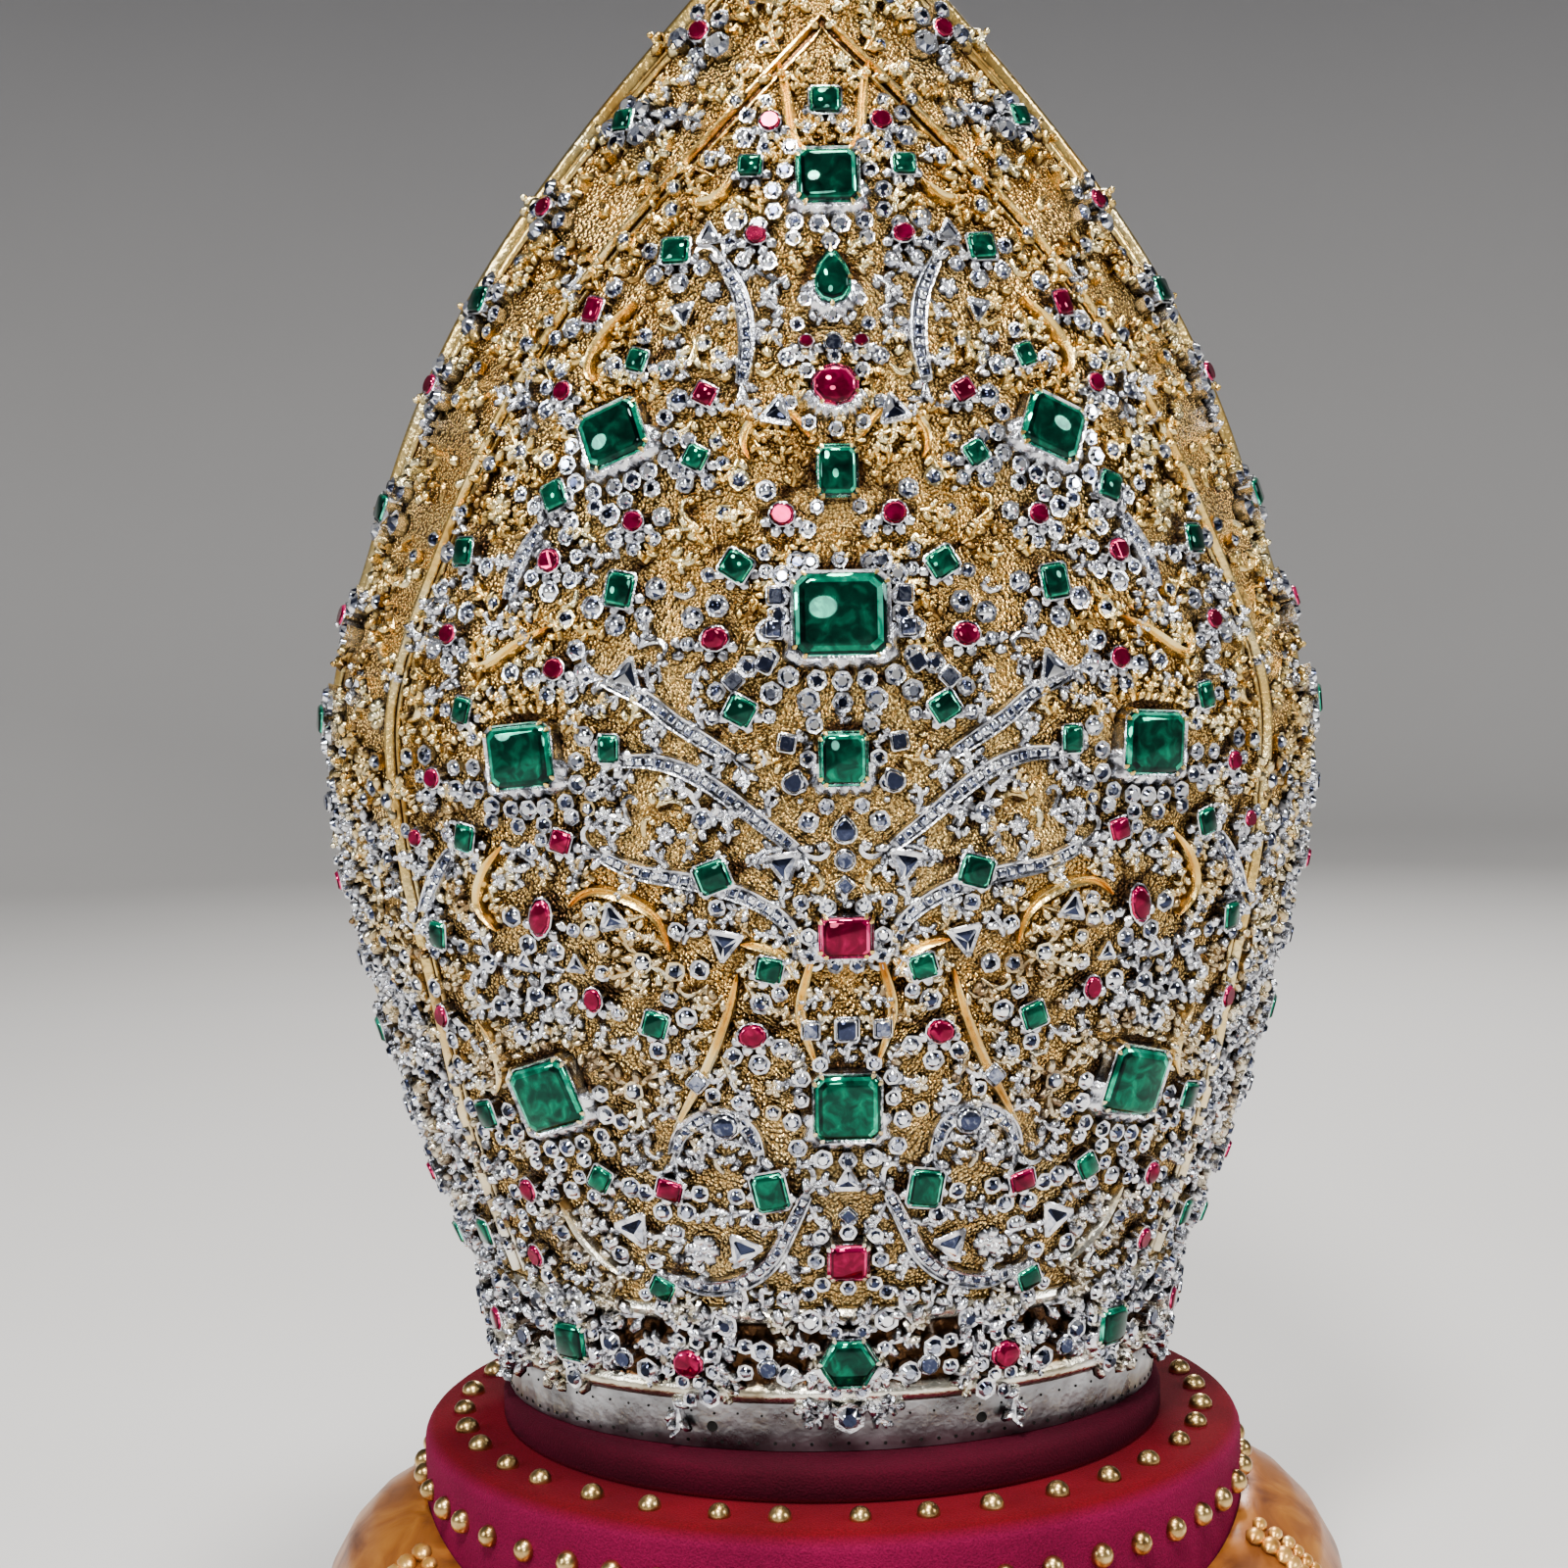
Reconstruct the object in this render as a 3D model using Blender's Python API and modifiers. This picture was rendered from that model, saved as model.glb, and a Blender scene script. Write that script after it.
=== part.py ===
"""Jewelled bishop mitre on a velvet-covered display stand.

Metres, +Z up, the front of the mitre faces -Y. The origin is the middle of the stand's
foot, on the surface that it stands on.
"""
import bisect
import math
from functools import lru_cache

import bmesh
import bpy
import numpy as np
from mathutils import Vector

# Clearance between pieces that touch
GAP = 0.0003

# The stand, from the floor up
FOOT_BODY = 0.045
FOOT_OVERHANG = 0.032
FOOT_COLLAR = 0.013
FOOT_WAVE = 0.007
DRUM_HEIGHT = 0.0397
DRUM_SHELF = 0.024
DRUM_ROUNDING = 0.006
RISER_HEIGHT = 0.0094
RISER_MARGIN = 0.002

# The head band and the circlet
BAND_HEIGHT = 0.014
BAND_WALL = 0.0015
CIRCLET_HEIGHT = 0.0284
CIRCLET_WALL = 0.0018
CIRCLET_MOULDING = 0.0024
MOULDING_HEIGHT = 0.0042
RIM_TAPER = 0.006

# The two panels and their mouldings
HALF_WIDTH = 0.144
PANEL_HEIGHT = 0.391
APEX_DEPTH = 0.060
PLATE = 0.0016
EDGE_RADIUS = 0.0026
INNER_RADIUS = 0.0020
BORDER = 0.060
SCROLL_WIDTH = 0.0052
SCROLL_RELIEF = 0.0018

# The cloth between the two points
GORE_CLOTH = 0.0014
GORE_SPLIT = 0.43
GORE_VALLEY_RISE = 0.06

# The great emerald in its collet, the collets' height and the gems' height above them
STONE = 0.0255
COLLET_HEIGHT = 0.0042
CROWN_HEIGHT = 0.0018

# Counts of steps round the hoops, along and across a panel, and up its mouldings
HOOP_STEPS = 56
PANEL_COLUMNS = 20
PANEL_ROWS = 18
MOULDING_ROWS = 18
GORE_ROWS = 12
SHARP_ANGLE = math.radians(35)

# A panel's sections. rise is a share of PANEL_HEIGHT, half of HALF_WIDTH, edge of APEX_DEPTH,
# bow of the section's own half width and border of BORDER. turn is the arc's half angle, degrees.
SECTION_COLUMNS = ("rise", "half", "edge", "bow", "turn", "border")
SECTIONS = (
    (0.00, 0.722, 0.00, 0.865, 90, 0.74),
    (0.11, 0.835, 0.00, 0.825, 90, 0.86),
    (0.22, 0.920, 0.00, 0.795, 90, 0.97),
    (0.34, 0.985, 0.00, 0.770, 90, 1.00),
    (0.42, 0.990, 0.03, 0.760, 88, 0.95),
    (0.53, 0.903, 0.17, 0.745, 80, 0.86),
    (0.65, 0.775, 0.38, 0.690, 70, 0.83),
    (0.74, 0.630, 0.57, 0.620, 62, 0.80),
    (0.82, 0.460, 0.74, 0.545, 55, 0.78),
    (0.91, 0.240, 0.90, 0.460, 50, 0.70),
    (1.00, 0.010, 1.00, 0.420, 48, 0.62),
)

# Main stones on a panel. side is a share of the section's half arc and rise of PANEL_HEIGHT.
# width and height are shares of STONE, and turn is in degrees. A stone off the centre has a twin.
STONE_COLUMNS = ("name", "side", "rise", "width", "height", "turn", "cut", "gem")
PANEL_STONES = (
    ("apex_emerald", 0.0, 0.782, 0.66, 0.62, 0, "square", "emerald"),
    ("pear_emerald", 0.0, 0.712, 0.44, 0.60, 0, "pear", "emerald"),
    ("upper_ruby", 0.0, 0.639, 0.50, 0.44, 0, "oval", "ruby"),
    ("upright_emerald", 0.0, 0.582, 0.42, 0.54, 0, "square", "emerald"),
    ("great_emerald", 0.0, 0.487, 1.00, 0.88, 0, "square", "emerald"),
    ("middle_emerald", 0.0, 0.391, 0.50, 0.56, 0, "square", "emerald"),
    ("middle_ruby", 0.0, 0.270, 0.56, 0.44, 0, "square", "ruby"),
    ("low_emerald", 0.0, 0.150, 0.72, 0.74, 0, "square", "emerald"),
    ("base_ruby", 0.0, 0.038, 0.44, 0.42, 0, "square", "ruby"),
    ("shoulder_emerald", 0.376, 0.610, 0.72, 0.62, -24, "square", "emerald"),
    ("side_emerald", 0.404, 0.393, 0.80, 0.68, -4, "square", "emerald"),
    ("flank_emerald", 0.436, 0.153, 0.82, 0.76, -14, "square", "emerald"),
)

# Main stones on the circlet. side is a share of a quarter turn, rise of CIRCLET_HEIGHT.
CIRCLET_STONES = (
    ("circlet_hexagon", 0.0, 0.47, 0.66, 0.56, 0, "hexagon", "emerald"),
    ("circlet_ruby", 0.275, 0.44, 0.38, 0.34, 0, "oval", "ruby"),
    ("circlet_emerald", 0.52, 0.50, 0.46, 0.44, 0, "square", "emerald"),
)

# Raised scrolls on the right half of a panel, as points (side, rise). Each has a twin on the left.
SCROLLS = {
    "parenthesis": ((0.240, 0.725), (0.189, 0.702), (0.164, 0.672), (0.164, 0.642)),
    "upper_curl": ((0.044, 0.606), (0.065, 0.620), (0.098, 0.627), (0.136, 0.620), (0.156, 0.605),
                   (0.138, 0.592)),
    "high_branch": ((0.130, 0.392), (0.204, 0.417), (0.238, 0.431), (0.302, 0.445)),
    "middle_branch": ((0.057, 0.330), (0.098, 0.348), (0.139, 0.367), (0.181, 0.382), (0.225, 0.390),
                      (0.270, 0.390)),
    "low_branch": ((0.062, 0.262), (0.070, 0.279), (0.117, 0.297), (0.183, 0.308), (0.252, 0.314),
                   (0.298, 0.325)),
    "stem": ((0.136, 0.244), (0.153, 0.212), (0.180, 0.180)),
    "arch": ((0.124, 0.114), (0.137, 0.135), (0.185, 0.144), (0.233, 0.131), (0.250, 0.114)),
    "base_scroll": ((0.060, 0.086), (0.085, 0.063), (0.119, 0.036), (0.169, 0.020), (0.230, 0.014),
                    (0.280, 0.020)),
    "base_leaf": ((0.372, 0.018), (0.416, 0.030), (0.451, 0.047), (0.470, 0.072)),
}

# Sizes that follow from those above
EDGE_SETBACK = EDGE_RADIUS + GAP / 2
PLATE_INSET = EDGE_RADIUS + GAP
PLATE_TOP_INSET = 2.2 * PLATE_INSET
RIM_HALF_WIDTH = HALF_WIDTH * SECTIONS[0][1] - RIM_TAPER
RIM_HALF_DEPTH = HALF_WIDTH * SECTIONS[0][1] * SECTIONS[0][3] - RIM_TAPER
HOOP_HEIGHT = BAND_HEIGHT + GAP + CIRCLET_HEIGHT
DRUM_BOTTOM = FOOT_BODY + GAP
DRUM_TOP = DRUM_BOTTOM + DRUM_HEIGHT
RISER_RADIUS = RIM_HALF_WIDTH + RISER_MARGIN
DRUM_RADIUS = RISER_RADIUS + DRUM_SHELF
RISER_BOTTOM = DRUM_TOP + GAP
RISER_TOP = RISER_BOTTOM + RISER_HEIGHT
RIM = RISER_TOP + GAP
PANEL_BOTTOM = RIM + HOOP_HEIGHT + GAP


def rows_of(columns, table):
    """The rows of a table as dictionaries."""
    return [dict(zip(columns, row)) for row in table]


def share(column, rise):
    """A column of SECTIONS at any rise, on a smooth curve through its rows."""
    rises = [row[0] for row in SECTIONS]
    values = [row[SECTION_COLUMNS.index(column)] for row in SECTIONS]
    slopes = np.gradient(values, rises)
    rise = min(max(rise, 0.0), 1.0)
    high = min(max(bisect.bisect_right(rises, rise), 1), len(rises) - 1)
    low = high - 1
    span = rises[high] - rises[low]
    t = (rise - rises[low]) / span
    start = (2 * t**3 - 3 * t**2 + 1) * values[low] + (t**3 - 2 * t**2 + t) * span * slopes[low]
    end = (3 * t**2 - 2 * t**3) * values[high] + (t**3 - t**2) * span * slopes[high]
    return float(start + end)


@lru_cache(maxsize=None)
def section(rise):
    """Half width, edge depth, bow and half angle of a panel's section."""
    half = HALF_WIDTH * share("half", rise)
    edge = APEX_DEPTH * max(share("edge", rise), 0.0)
    bow = half * share("bow", rise)
    return half, edge + EDGE_SETBACK, bow - EDGE_SETBACK, math.radians(share("turn", rise))


def panel_base(side, rise):
    """Point on the front panel's outer face. side runs from -1 at the left edge to 1."""
    half, edge, bow, turn = section(rise)
    angle = side * turn
    depth = edge + bow * (math.cos(angle) - math.cos(turn)) / (1 - math.cos(turn))
    return Vector((half * math.sin(angle) / math.sin(turn), -depth, PANEL_BOTTOM + PANEL_HEIGHT * rise))


def hoop_point(angle, height, out):
    """Point of the oval hoops, at an angle from +X, a height above the rim and a distance out."""
    taper = RIM_TAPER * (height / HOOP_HEIGHT)
    x = (RIM_HALF_WIDTH + taper + out) * math.cos(angle)
    y = (RIM_HALF_DEPTH + taper + out) * math.sin(angle)
    return Vector((x, y, RIM + height))


def circlet_base(side, rise):
    """Point on the front of the circlet's outer face. side is a share of a quarter turn."""
    height = BAND_HEIGHT + GAP + CIRCLET_HEIGHT * rise
    return hoop_point(math.pi / 2 * (side - 1), height, 0.0)


def slopes_of(base, side, rise):
    """How far a point of a surface moves for one unit of side, and of rise."""
    step = 0.001
    side_low, side_high = max(side - step, -1), min(side + step, 1)
    rise_low, rise_high = max(rise - step, 0), min(rise + step, 1)
    along = (base(side_high, rise) - base(side_low, rise)) / (side_high - side_low)
    up = (base(side, rise_high) - base(side, rise_low)) / (rise_high - rise_low)
    return along, up


def normal_of(base, side, rise):
    """Outward normal of a surface."""
    along, up = slopes_of(base, side, rise)
    return along.cross(up).normalized()


def lifted(base, side, rise, lift):
    """Point at a height above a surface."""
    return base(side, rise) + normal_of(base, side, rise) * lift


def shifted(base, side, rise, offset):
    """The side and rise that lie a small offset away along a surface."""
    along, up = slopes_of(base, side, rise)
    a, b, c = along.dot(along), along.dot(up), up.dot(up)
    p, q = offset.dot(along), offset.dot(up)
    determinant = a * c - b * b
    return side + (p * c - q * b) / determinant, rise + (q * a - p * b) / determinant


@lru_cache(maxsize=None)
def arc_table(rise):
    """Sides from the edge to the centre line of a section, with the arc length from the edge."""
    sides = np.linspace(1.0, 0.0, 41)
    points = np.array([panel_base(side, rise)[:] for side in sides])
    lengths = np.concatenate(([0.0], np.cumsum(np.linalg.norm(np.diff(points, axis=0), axis=1))))
    return lengths, sides


def side_inset(rise, inset):
    """The side that lies a distance inside a panel's edge, or 0 where the section is too short."""
    lengths, sides = arc_table(rise)
    return float(np.interp(inset, lengths, sides))


def rise_where_inset_meets(inset_at):
    """The rise at which an inset line reaches the centre line, found by halving."""
    low, high = 0.6, 1.0
    for _ in range(30):
        middle = (low + high) / 2
        if arc_table(middle)[0][-1] > inset_at(middle):
            low = middle
        else:
            high = middle
    return low


def add_object(name, mesh, material, collection):
    """An object of the part, from a finished mesh."""
    item = bpy.data.objects.new(name, mesh)
    item.data.materials.append(material)
    collection.objects.link(item)
    return item


def mesh_from(bm, name, recalculate=True):
    """A mesh, with its faces pointing out if it is closed, shaded smooth with sharp edges."""
    if recalculate:
        bmesh.ops.recalc_face_normals(bm, faces=bm.faces)
    mesh = bpy.data.meshes.new(name)
    bm.to_mesh(mesh)
    bm.free()
    mesh.shade_smooth()
    mesh.set_sharp_from_angle(angle=SHARP_ANGLE)
    return mesh


def loft(name, rings, looped=False, first_centre=None):
    """A solid through closed rings of points. A looped loft joins its last ring to its first."""
    bm = bmesh.new()
    verts = [[bm.verts.new(point) for point in ring] for ring in rings]
    count = len(rings[0])
    pairs = list(zip(verts, verts[1:]))
    if looped:
        pairs.append((verts[-1], verts[0]))
    for ring, following in pairs:
        for k in range(count):
            n = (k + 1) % count
            bm.faces.new((ring[k], ring[n], following[n], following[k]))
    if not looped:
        bm.faces.new(verts[-1])
        if first_centre is None:
            bm.faces.new(verts[0])
        else:
            centre = bm.verts.new(first_centre)
            for k in range(count):
                bm.faces.new((centre, verts[0][k], verts[0][(k + 1) % count]))
    return mesh_from(bm, name)


def evaluated_mesh(item, name):
    """A plain mesh of an object with its modifiers or bevel applied."""
    bpy.context.view_layer.update()
    graph = bpy.context.evaluated_depsgraph_get()
    mesh = bpy.data.meshes.new_from_object(item.evaluated_get(graph))
    mesh.name = name
    return mesh


def turned(name, profile):
    """A turned solid with flat ends. profile lists (radius, height) from the bottom up."""
    angles = [2 * math.pi * k / HOOP_STEPS for k in range(HOOP_STEPS)]
    return loft(name, [[(r * math.cos(a), r * math.sin(a), z) for a in angles] for r, z in profile])


def hoop(name, profile):
    """An oval hoop swept from a closed profile of (distance out, height above the rim)."""
    rings = []
    for k in range(HOOP_STEPS):
        angle = 2 * math.pi * k / HOOP_STEPS
        rings.append([hoop_point(angle, height, out) for out, height in profile])
    return loft(name, rings, looped=True)


def build_stand_riser():
    """The plug that the rim rests on."""
    return turned("stand_riser", [(RISER_RADIUS, RISER_BOTTOM), (RISER_RADIUS, RISER_TOP)])


def build_stand_drum():
    """The drum, with a rounded shoulder."""
    profile = [(DRUM_RADIUS, DRUM_BOTTOM)]
    for degrees in (0, 30, 60, 90):
        angle = math.radians(degrees)
        radius = DRUM_RADIUS - DRUM_ROUNDING * (1 - math.cos(angle))
        profile.append((radius, DRUM_TOP - DRUM_ROUNDING * (1 - math.sin(angle))))
    return turned("stand_drum", profile)


# The foot's outer profile: out is a share of FOOT_OVERHANG beyond the drum, and height runs
# from 0 on the floor to 1 at the top of the collar.
FOOT_COLUMNS = ("out", "height")
FOOT_PROFILE = (
    (0.80, 0.00),
    (0.80, 0.10),
    (0.97, 0.20),
    (1.00, 0.38),
    (0.93, 0.58),
    (0.73, 0.76),
    (0.46, 0.90),
    (0.12, 1.00),
)


def build_stand_foot():
    """The bulging foot, whose wavy collar stands round the drum."""
    seat = DRUM_RADIUS + GAP
    rings = []
    rows = rows_of(FOOT_COLUMNS, FOOT_PROFILE)
    for k in range(HOOP_STEPS):
        angle = 2 * math.pi * k / HOOP_STEPS
        top = FOOT_BODY + FOOT_COLLAR + FOOT_WAVE * math.cos(4 * angle)
        profile = [(DRUM_RADIUS + FOOT_OVERHANG * row["out"], top * row["height"]) for row in rows]
        profile.append((seat, top))
        profile.append((seat, FOOT_BODY))
        rings.append([(r * math.cos(angle), r * math.sin(angle), z) for r, z in profile])
    return loft("stand_foot", list(zip(*rings)))


def build_head_band():
    """The plain band at the rim."""
    top = BAND_HEIGHT
    return hoop("head_band", [(-BAND_WALL, 0.0), (0.0, 0.0), (0.0, top), (-BAND_WALL, top)])


def build_circlet():
    """The hoop above the head band, with a moulding along each edge."""
    low = BAND_HEIGHT + GAP
    high = HOOP_HEIGHT
    bulge = CIRCLET_MOULDING
    tall = MOULDING_HEIGHT
    profile = [
        (-CIRCLET_WALL, low),
        (bulge * 0.7, low),
        (bulge, low + tall * 0.5),
        (0.0, low + tall),
        (0.0, high - tall * 1.15),
        (bulge, high - tall * 0.5),
        (bulge * 0.6, high),
        (-CIRCLET_WALL, high),
    ]
    return hoop("circlet", profile)


def plate_reach(rise):
    """The side where a plate's section ends, clear of the moulding however the edge slopes."""
    along, up = slopes_of(panel_base, 1.0, rise)
    slope = along.normalized().cross(up.normalized()).length
    return side_inset(rise, PLATE_INSET / slope)


def panel_top():
    """The rise at which a plate ends, just below the meeting of its edge mouldings."""
    return rise_where_inset_meets(lambda rise: PLATE_TOP_INSET)


def panel_rises():
    """Rises of the rows that a plate and its edge moulding share, up to the apex."""
    return sorted({k / PANEL_ROWS for k in range(PANEL_ROWS + 1)} | {panel_top()})


def tube_mesh(name, points, radius, collection):
    """A round tube along points, with closed ends."""
    curve = bpy.data.curves.new(name, "CURVE")
    curve.dimensions = "3D"
    curve.bevel_depth = radius
    curve.bevel_resolution = 2
    curve.use_fill_caps = True
    spline = curve.splines.new("POLY")
    spline.points.add(len(points) - 1)
    for place, point in zip(spline.points, points):
        place.co = (*point, 1.0)
    item = bpy.data.objects.new(name, curve)
    collection.objects.link(item)
    mesh = evaluated_mesh(item, name)
    bpy.data.objects.remove(item)
    bm = bmesh.new()
    bm.from_mesh(mesh)
    bmesh.ops.remove_doubles(bm, verts=bm.verts, dist=0.00001)
    return mesh_from(bm, name)


def build_edge_moulding(collection):
    """The round moulding along a panel's edge, up one side and down the other."""
    start = (EDGE_RADIUS + GAP) / 2 / PANEL_HEIGHT
    right = [panel_base(1.0, rise) for rise in [start] + panel_rises()[1:]]
    right[-1].x = 0.0
    left = [Vector((-point.x, point.y, point.z)) for point in reversed(right[:-1])]
    return tube_mesh("edge_moulding", right + left, EDGE_RADIUS, collection)


def border_at(rise):
    """Width of the jewelled border, along the section's arc."""
    return BORDER * share("border", rise)


def build_inner_moulding(collection):
    """The second moulding, which frames the border and meets itself below the apex."""
    lift = INNER_RADIUS + GAP + PLATE / 4
    top = rise_where_inset_meets(border_at)
    start = (INNER_RADIUS + GAP) / PANEL_HEIGHT
    rises = [start + (top - start) * k / MOULDING_ROWS for k in range(MOULDING_ROWS + 1)]
    right = [lifted(panel_base, side_inset(rise, border_at(rise)), rise, lift) for rise in rises[:-1]]
    left = [Vector((-point.x, point.y, point.z)) for point in reversed(right)]
    crown = lifted(panel_base, 0.0, rises[-1], lift)
    return tube_mesh("inner_moulding", right + [crown] + left, INNER_RADIUS, collection)


def smooth_path(points, steps):
    """A smooth curve through chosen points, with a number of steps between each two."""
    ends = [2 * points[0] - points[1]] + points + [2 * points[-1] - points[-2]]
    path = []
    for a, b, c, d in zip(ends, ends[1:], ends[2:], ends[3:]):
        for k in range(steps):
            t = k / steps
            path.append(0.5 * (2 * b + (c - a) * t + (2 * a - 5 * b + 4 * c - d) * t**2
                               + (3 * b - a - 3 * c + d) * t**3))
    path.append(points[-1])
    return path


def scroll_mesh(name, points, hand):
    """A raised scroll with sloping sides, slimmer towards its ends, its root inside the plate."""
    places = [Vector((side * hand, rise)) for side, rise in points]
    path = smooth_path(places, 2)
    rings = []
    for k, place in enumerate(path):
        before = path[max(k - 1, 0)]
        after = path[min(k + 1, len(path) - 1)]
        normal = normal_of(panel_base, *place)
        course = panel_base(*after) - panel_base(*before)
        across = course.cross(normal).normalized()
        middle = panel_base(*place)
        along = k / (len(path) - 1)
        half = SCROLL_WIDTH / 2 * (0.45 + 0.55 * math.sin(math.pi * min(along * 1.3 + 0.1, 1.0)))
        top = half * 0.6
        low, high = -PLATE * 0.6, SCROLL_RELIEF
        rings.append([middle + across * half + normal * low, middle + across * top + normal * high,
                      middle - across * top + normal * high, middle - across * half + normal * low])
    return loft(name, rings)


def build_panel(material, collection, cutters):
    """The bowed plate with its scrolls, one casting."""
    bm = bmesh.new()
    rows = []
    for rise in [rise for rise in panel_rises() if rise <= panel_top()]:
        reach = plate_reach(rise)
        sides = [reach * (2 * k / PANEL_COLUMNS - 1) for k in range(PANEL_COLUMNS + 1)]
        rows.append([bm.verts.new(panel_base(side, rise)) for side in sides])
    for row, upper in zip(rows, rows[1:]):
        for k in range(PANEL_COLUMNS):
            bm.faces.new((row[k], row[k + 1], upper[k + 1], upper[k]))
    mesh = bpy.data.meshes.new("plate")
    bm.to_mesh(mesh)
    bm.free()
    plate = add_object("plate", mesh, material, collection)
    solid = plate.modifiers.new("wall", "SOLIDIFY")
    solid.thickness = PLATE
    solid.offset = -1.0
    for name, points in SCROLLS.items():
        for hand in (1, -1):
            item = add_object(f"{name}_{hand}", scroll_mesh(name, points, hand), material, cutters)
            item.hide_render = True
            item.display_type = "WIRE"
    joined = plate.modifiers.new("scrolls", "BOOLEAN")
    joined.operation = "UNION"
    joined.operand_type = "COLLECTION"
    joined.collection = cutters
    result = evaluated_mesh(plate, "panel")
    bpy.data.objects.remove(plate)
    result.shade_smooth()
    result.set_sharp_from_angle(angle=SHARP_ANGLE)
    return result


def build_gore(material, collection):
    """The folded cloth roof: from each point's edge down to a valley across the middle."""
    inset = PLATE_TOP_INSET
    top = panel_top()
    lift = -(PLATE + GAP + GORE_CLOTH)
    split = lifted(panel_base, side_inset(GORE_SPLIT, inset), GORE_SPLIT, lift)
    rows = []
    for k in range(GORE_ROWS + 1):
        share_up = k / GORE_ROWS
        rise = GORE_SPLIT + (top - GORE_SPLIT) * share_up
        edge = lifted(panel_base, side_inset(rise, inset), rise, lift)
        sag = GORE_VALLEY_RISE * (1 - (1 - share_up) ** 2)
        valley = Vector((split.x * (1 - share_up), 0.0, split.z + PANEL_HEIGHT * sag))
        rows.append((edge, valley, Vector((edge.x, -edge.y, edge.z))))
    left = [[Vector((-point.x, point.y, point.z)) for point in row] for row in reversed(rows[:-1])]
    bm = bmesh.new()
    verts = [[bm.verts.new(point) for point in row] for row in rows + left]
    for row, following in zip(verts, verts[1:]):
        for k in range(2):
            bm.faces.new((row[k], following[k], following[k + 1], row[k + 1]))
    sheet = add_object("sheet", mesh_from(bm, "sheet", recalculate=False), material, collection)
    cloth = sheet.modifiers.new("cloth", "SOLIDIFY")
    cloth.thickness = GORE_CLOTH
    cloth.offset = 0.0
    result = evaluated_mesh(sheet, "gore")
    bpy.data.objects.remove(sheet)
    return result


def cut_outline(cut):
    """Corners of a stone's outline in a unit box, anticlockwise from its right side."""
    if cut == "square":
        corner, edge = 0.33, 0.5
        return [(edge, -corner), (edge, corner), (corner, edge), (-corner, edge),
                (-edge, corner), (-edge, -corner), (-corner, -edge), (corner, -edge)]
    if cut == "hexagon":
        angles = [math.pi / 3 * k for k in range(6)]
        return [(0.5 * math.cos(a), 0.5 * math.sin(a) / math.sin(math.pi / 3)) for a in angles]
    if cut == "pear":
        angles = [2 * math.pi * k / 10 for k in range(10)]
        return [(0.55 * math.sin(a) * abs(math.sin(a / 2)) ** 0.6, 0.5 * math.cos(a)) for a in angles]
    angles = [2 * math.pi * (k + 0.5) / 8 for k in range(8)]
    return [(0.5 * math.cos(a), 0.5 * math.sin(a)) for a in angles]


def build_stone(row, base, hand):
    """A gem in its collet: the collet's foot follows the surface and the table is flat."""
    side = row["side"] * hand
    rise = row["rise"]
    centre = base(side, rise)
    normal = normal_of(base, side, rise)
    across = slopes_of(base, side, rise)[0].normalized()
    up = normal.cross(across)
    turn = math.radians(row["turn"]) * hand
    corners = []
    for x, y in cut_outline(row["cut"]):
        x, y = x * row["width"] * STONE, y * row["height"] * STONE
        corners.append(across * (x * math.cos(turn) - y * math.sin(turn))
                       + up * (x * math.sin(turn) + y * math.cos(turn)))
    foot_lift = GAP + PLATE / 10
    foot = [lifted(base, *shifted(base, side, rise, corner), foot_lift) for corner in corners]
    rings = [foot]
    for spread, height in ((0.96, COLLET_HEIGHT), (0.84, COLLET_HEIGHT),
                           (0.56, COLLET_HEIGHT + CROWN_HEIGHT)):
        rings.append([centre + corner * spread + normal * height for corner in corners])
    return loft(row["name"], rings, first_centre=centre + normal * foot_lift)


def make_material(name, colour, roughness, metallic):
    """A plain surface."""
    material = bpy.data.materials.new(name)
    material.use_nodes = True
    shader = material.node_tree.nodes["Principled BSDF"]
    shader.inputs["Base Color"].default_value = (*colour, 1.0)
    shader.inputs["Roughness"].default_value = roughness
    shader.inputs["Metallic"].default_value = metallic
    return material


def make_collection(name):
    """A new collection in the scene."""
    collection = bpy.data.collections.new(name)
    bpy.context.scene.collection.children.link(collection)
    return collection


def add_both_faces(name, mesh, material, collection):
    """One piece on the front and its twin, turned half round, on the back."""
    add_object(f"front_{name}", mesh, material, collection)
    back = add_object(f"back_{name}", mesh.copy(), material, collection)
    back.rotation_euler.z = math.pi


def add_stones(table, base, materials, collection):
    """The main stones of one surface, on both faces of the mitre."""
    for row in rows_of(STONE_COLUMNS, table):
        hands = {"": 1} if row["side"] == 0 else {"_right": 1, "_left": -1}
        for suffix, hand in hands.items():
            mesh = build_stone(row, base, hand)
            add_both_faces(row["name"] + suffix, mesh, materials[row["gem"]], collection)


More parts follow.
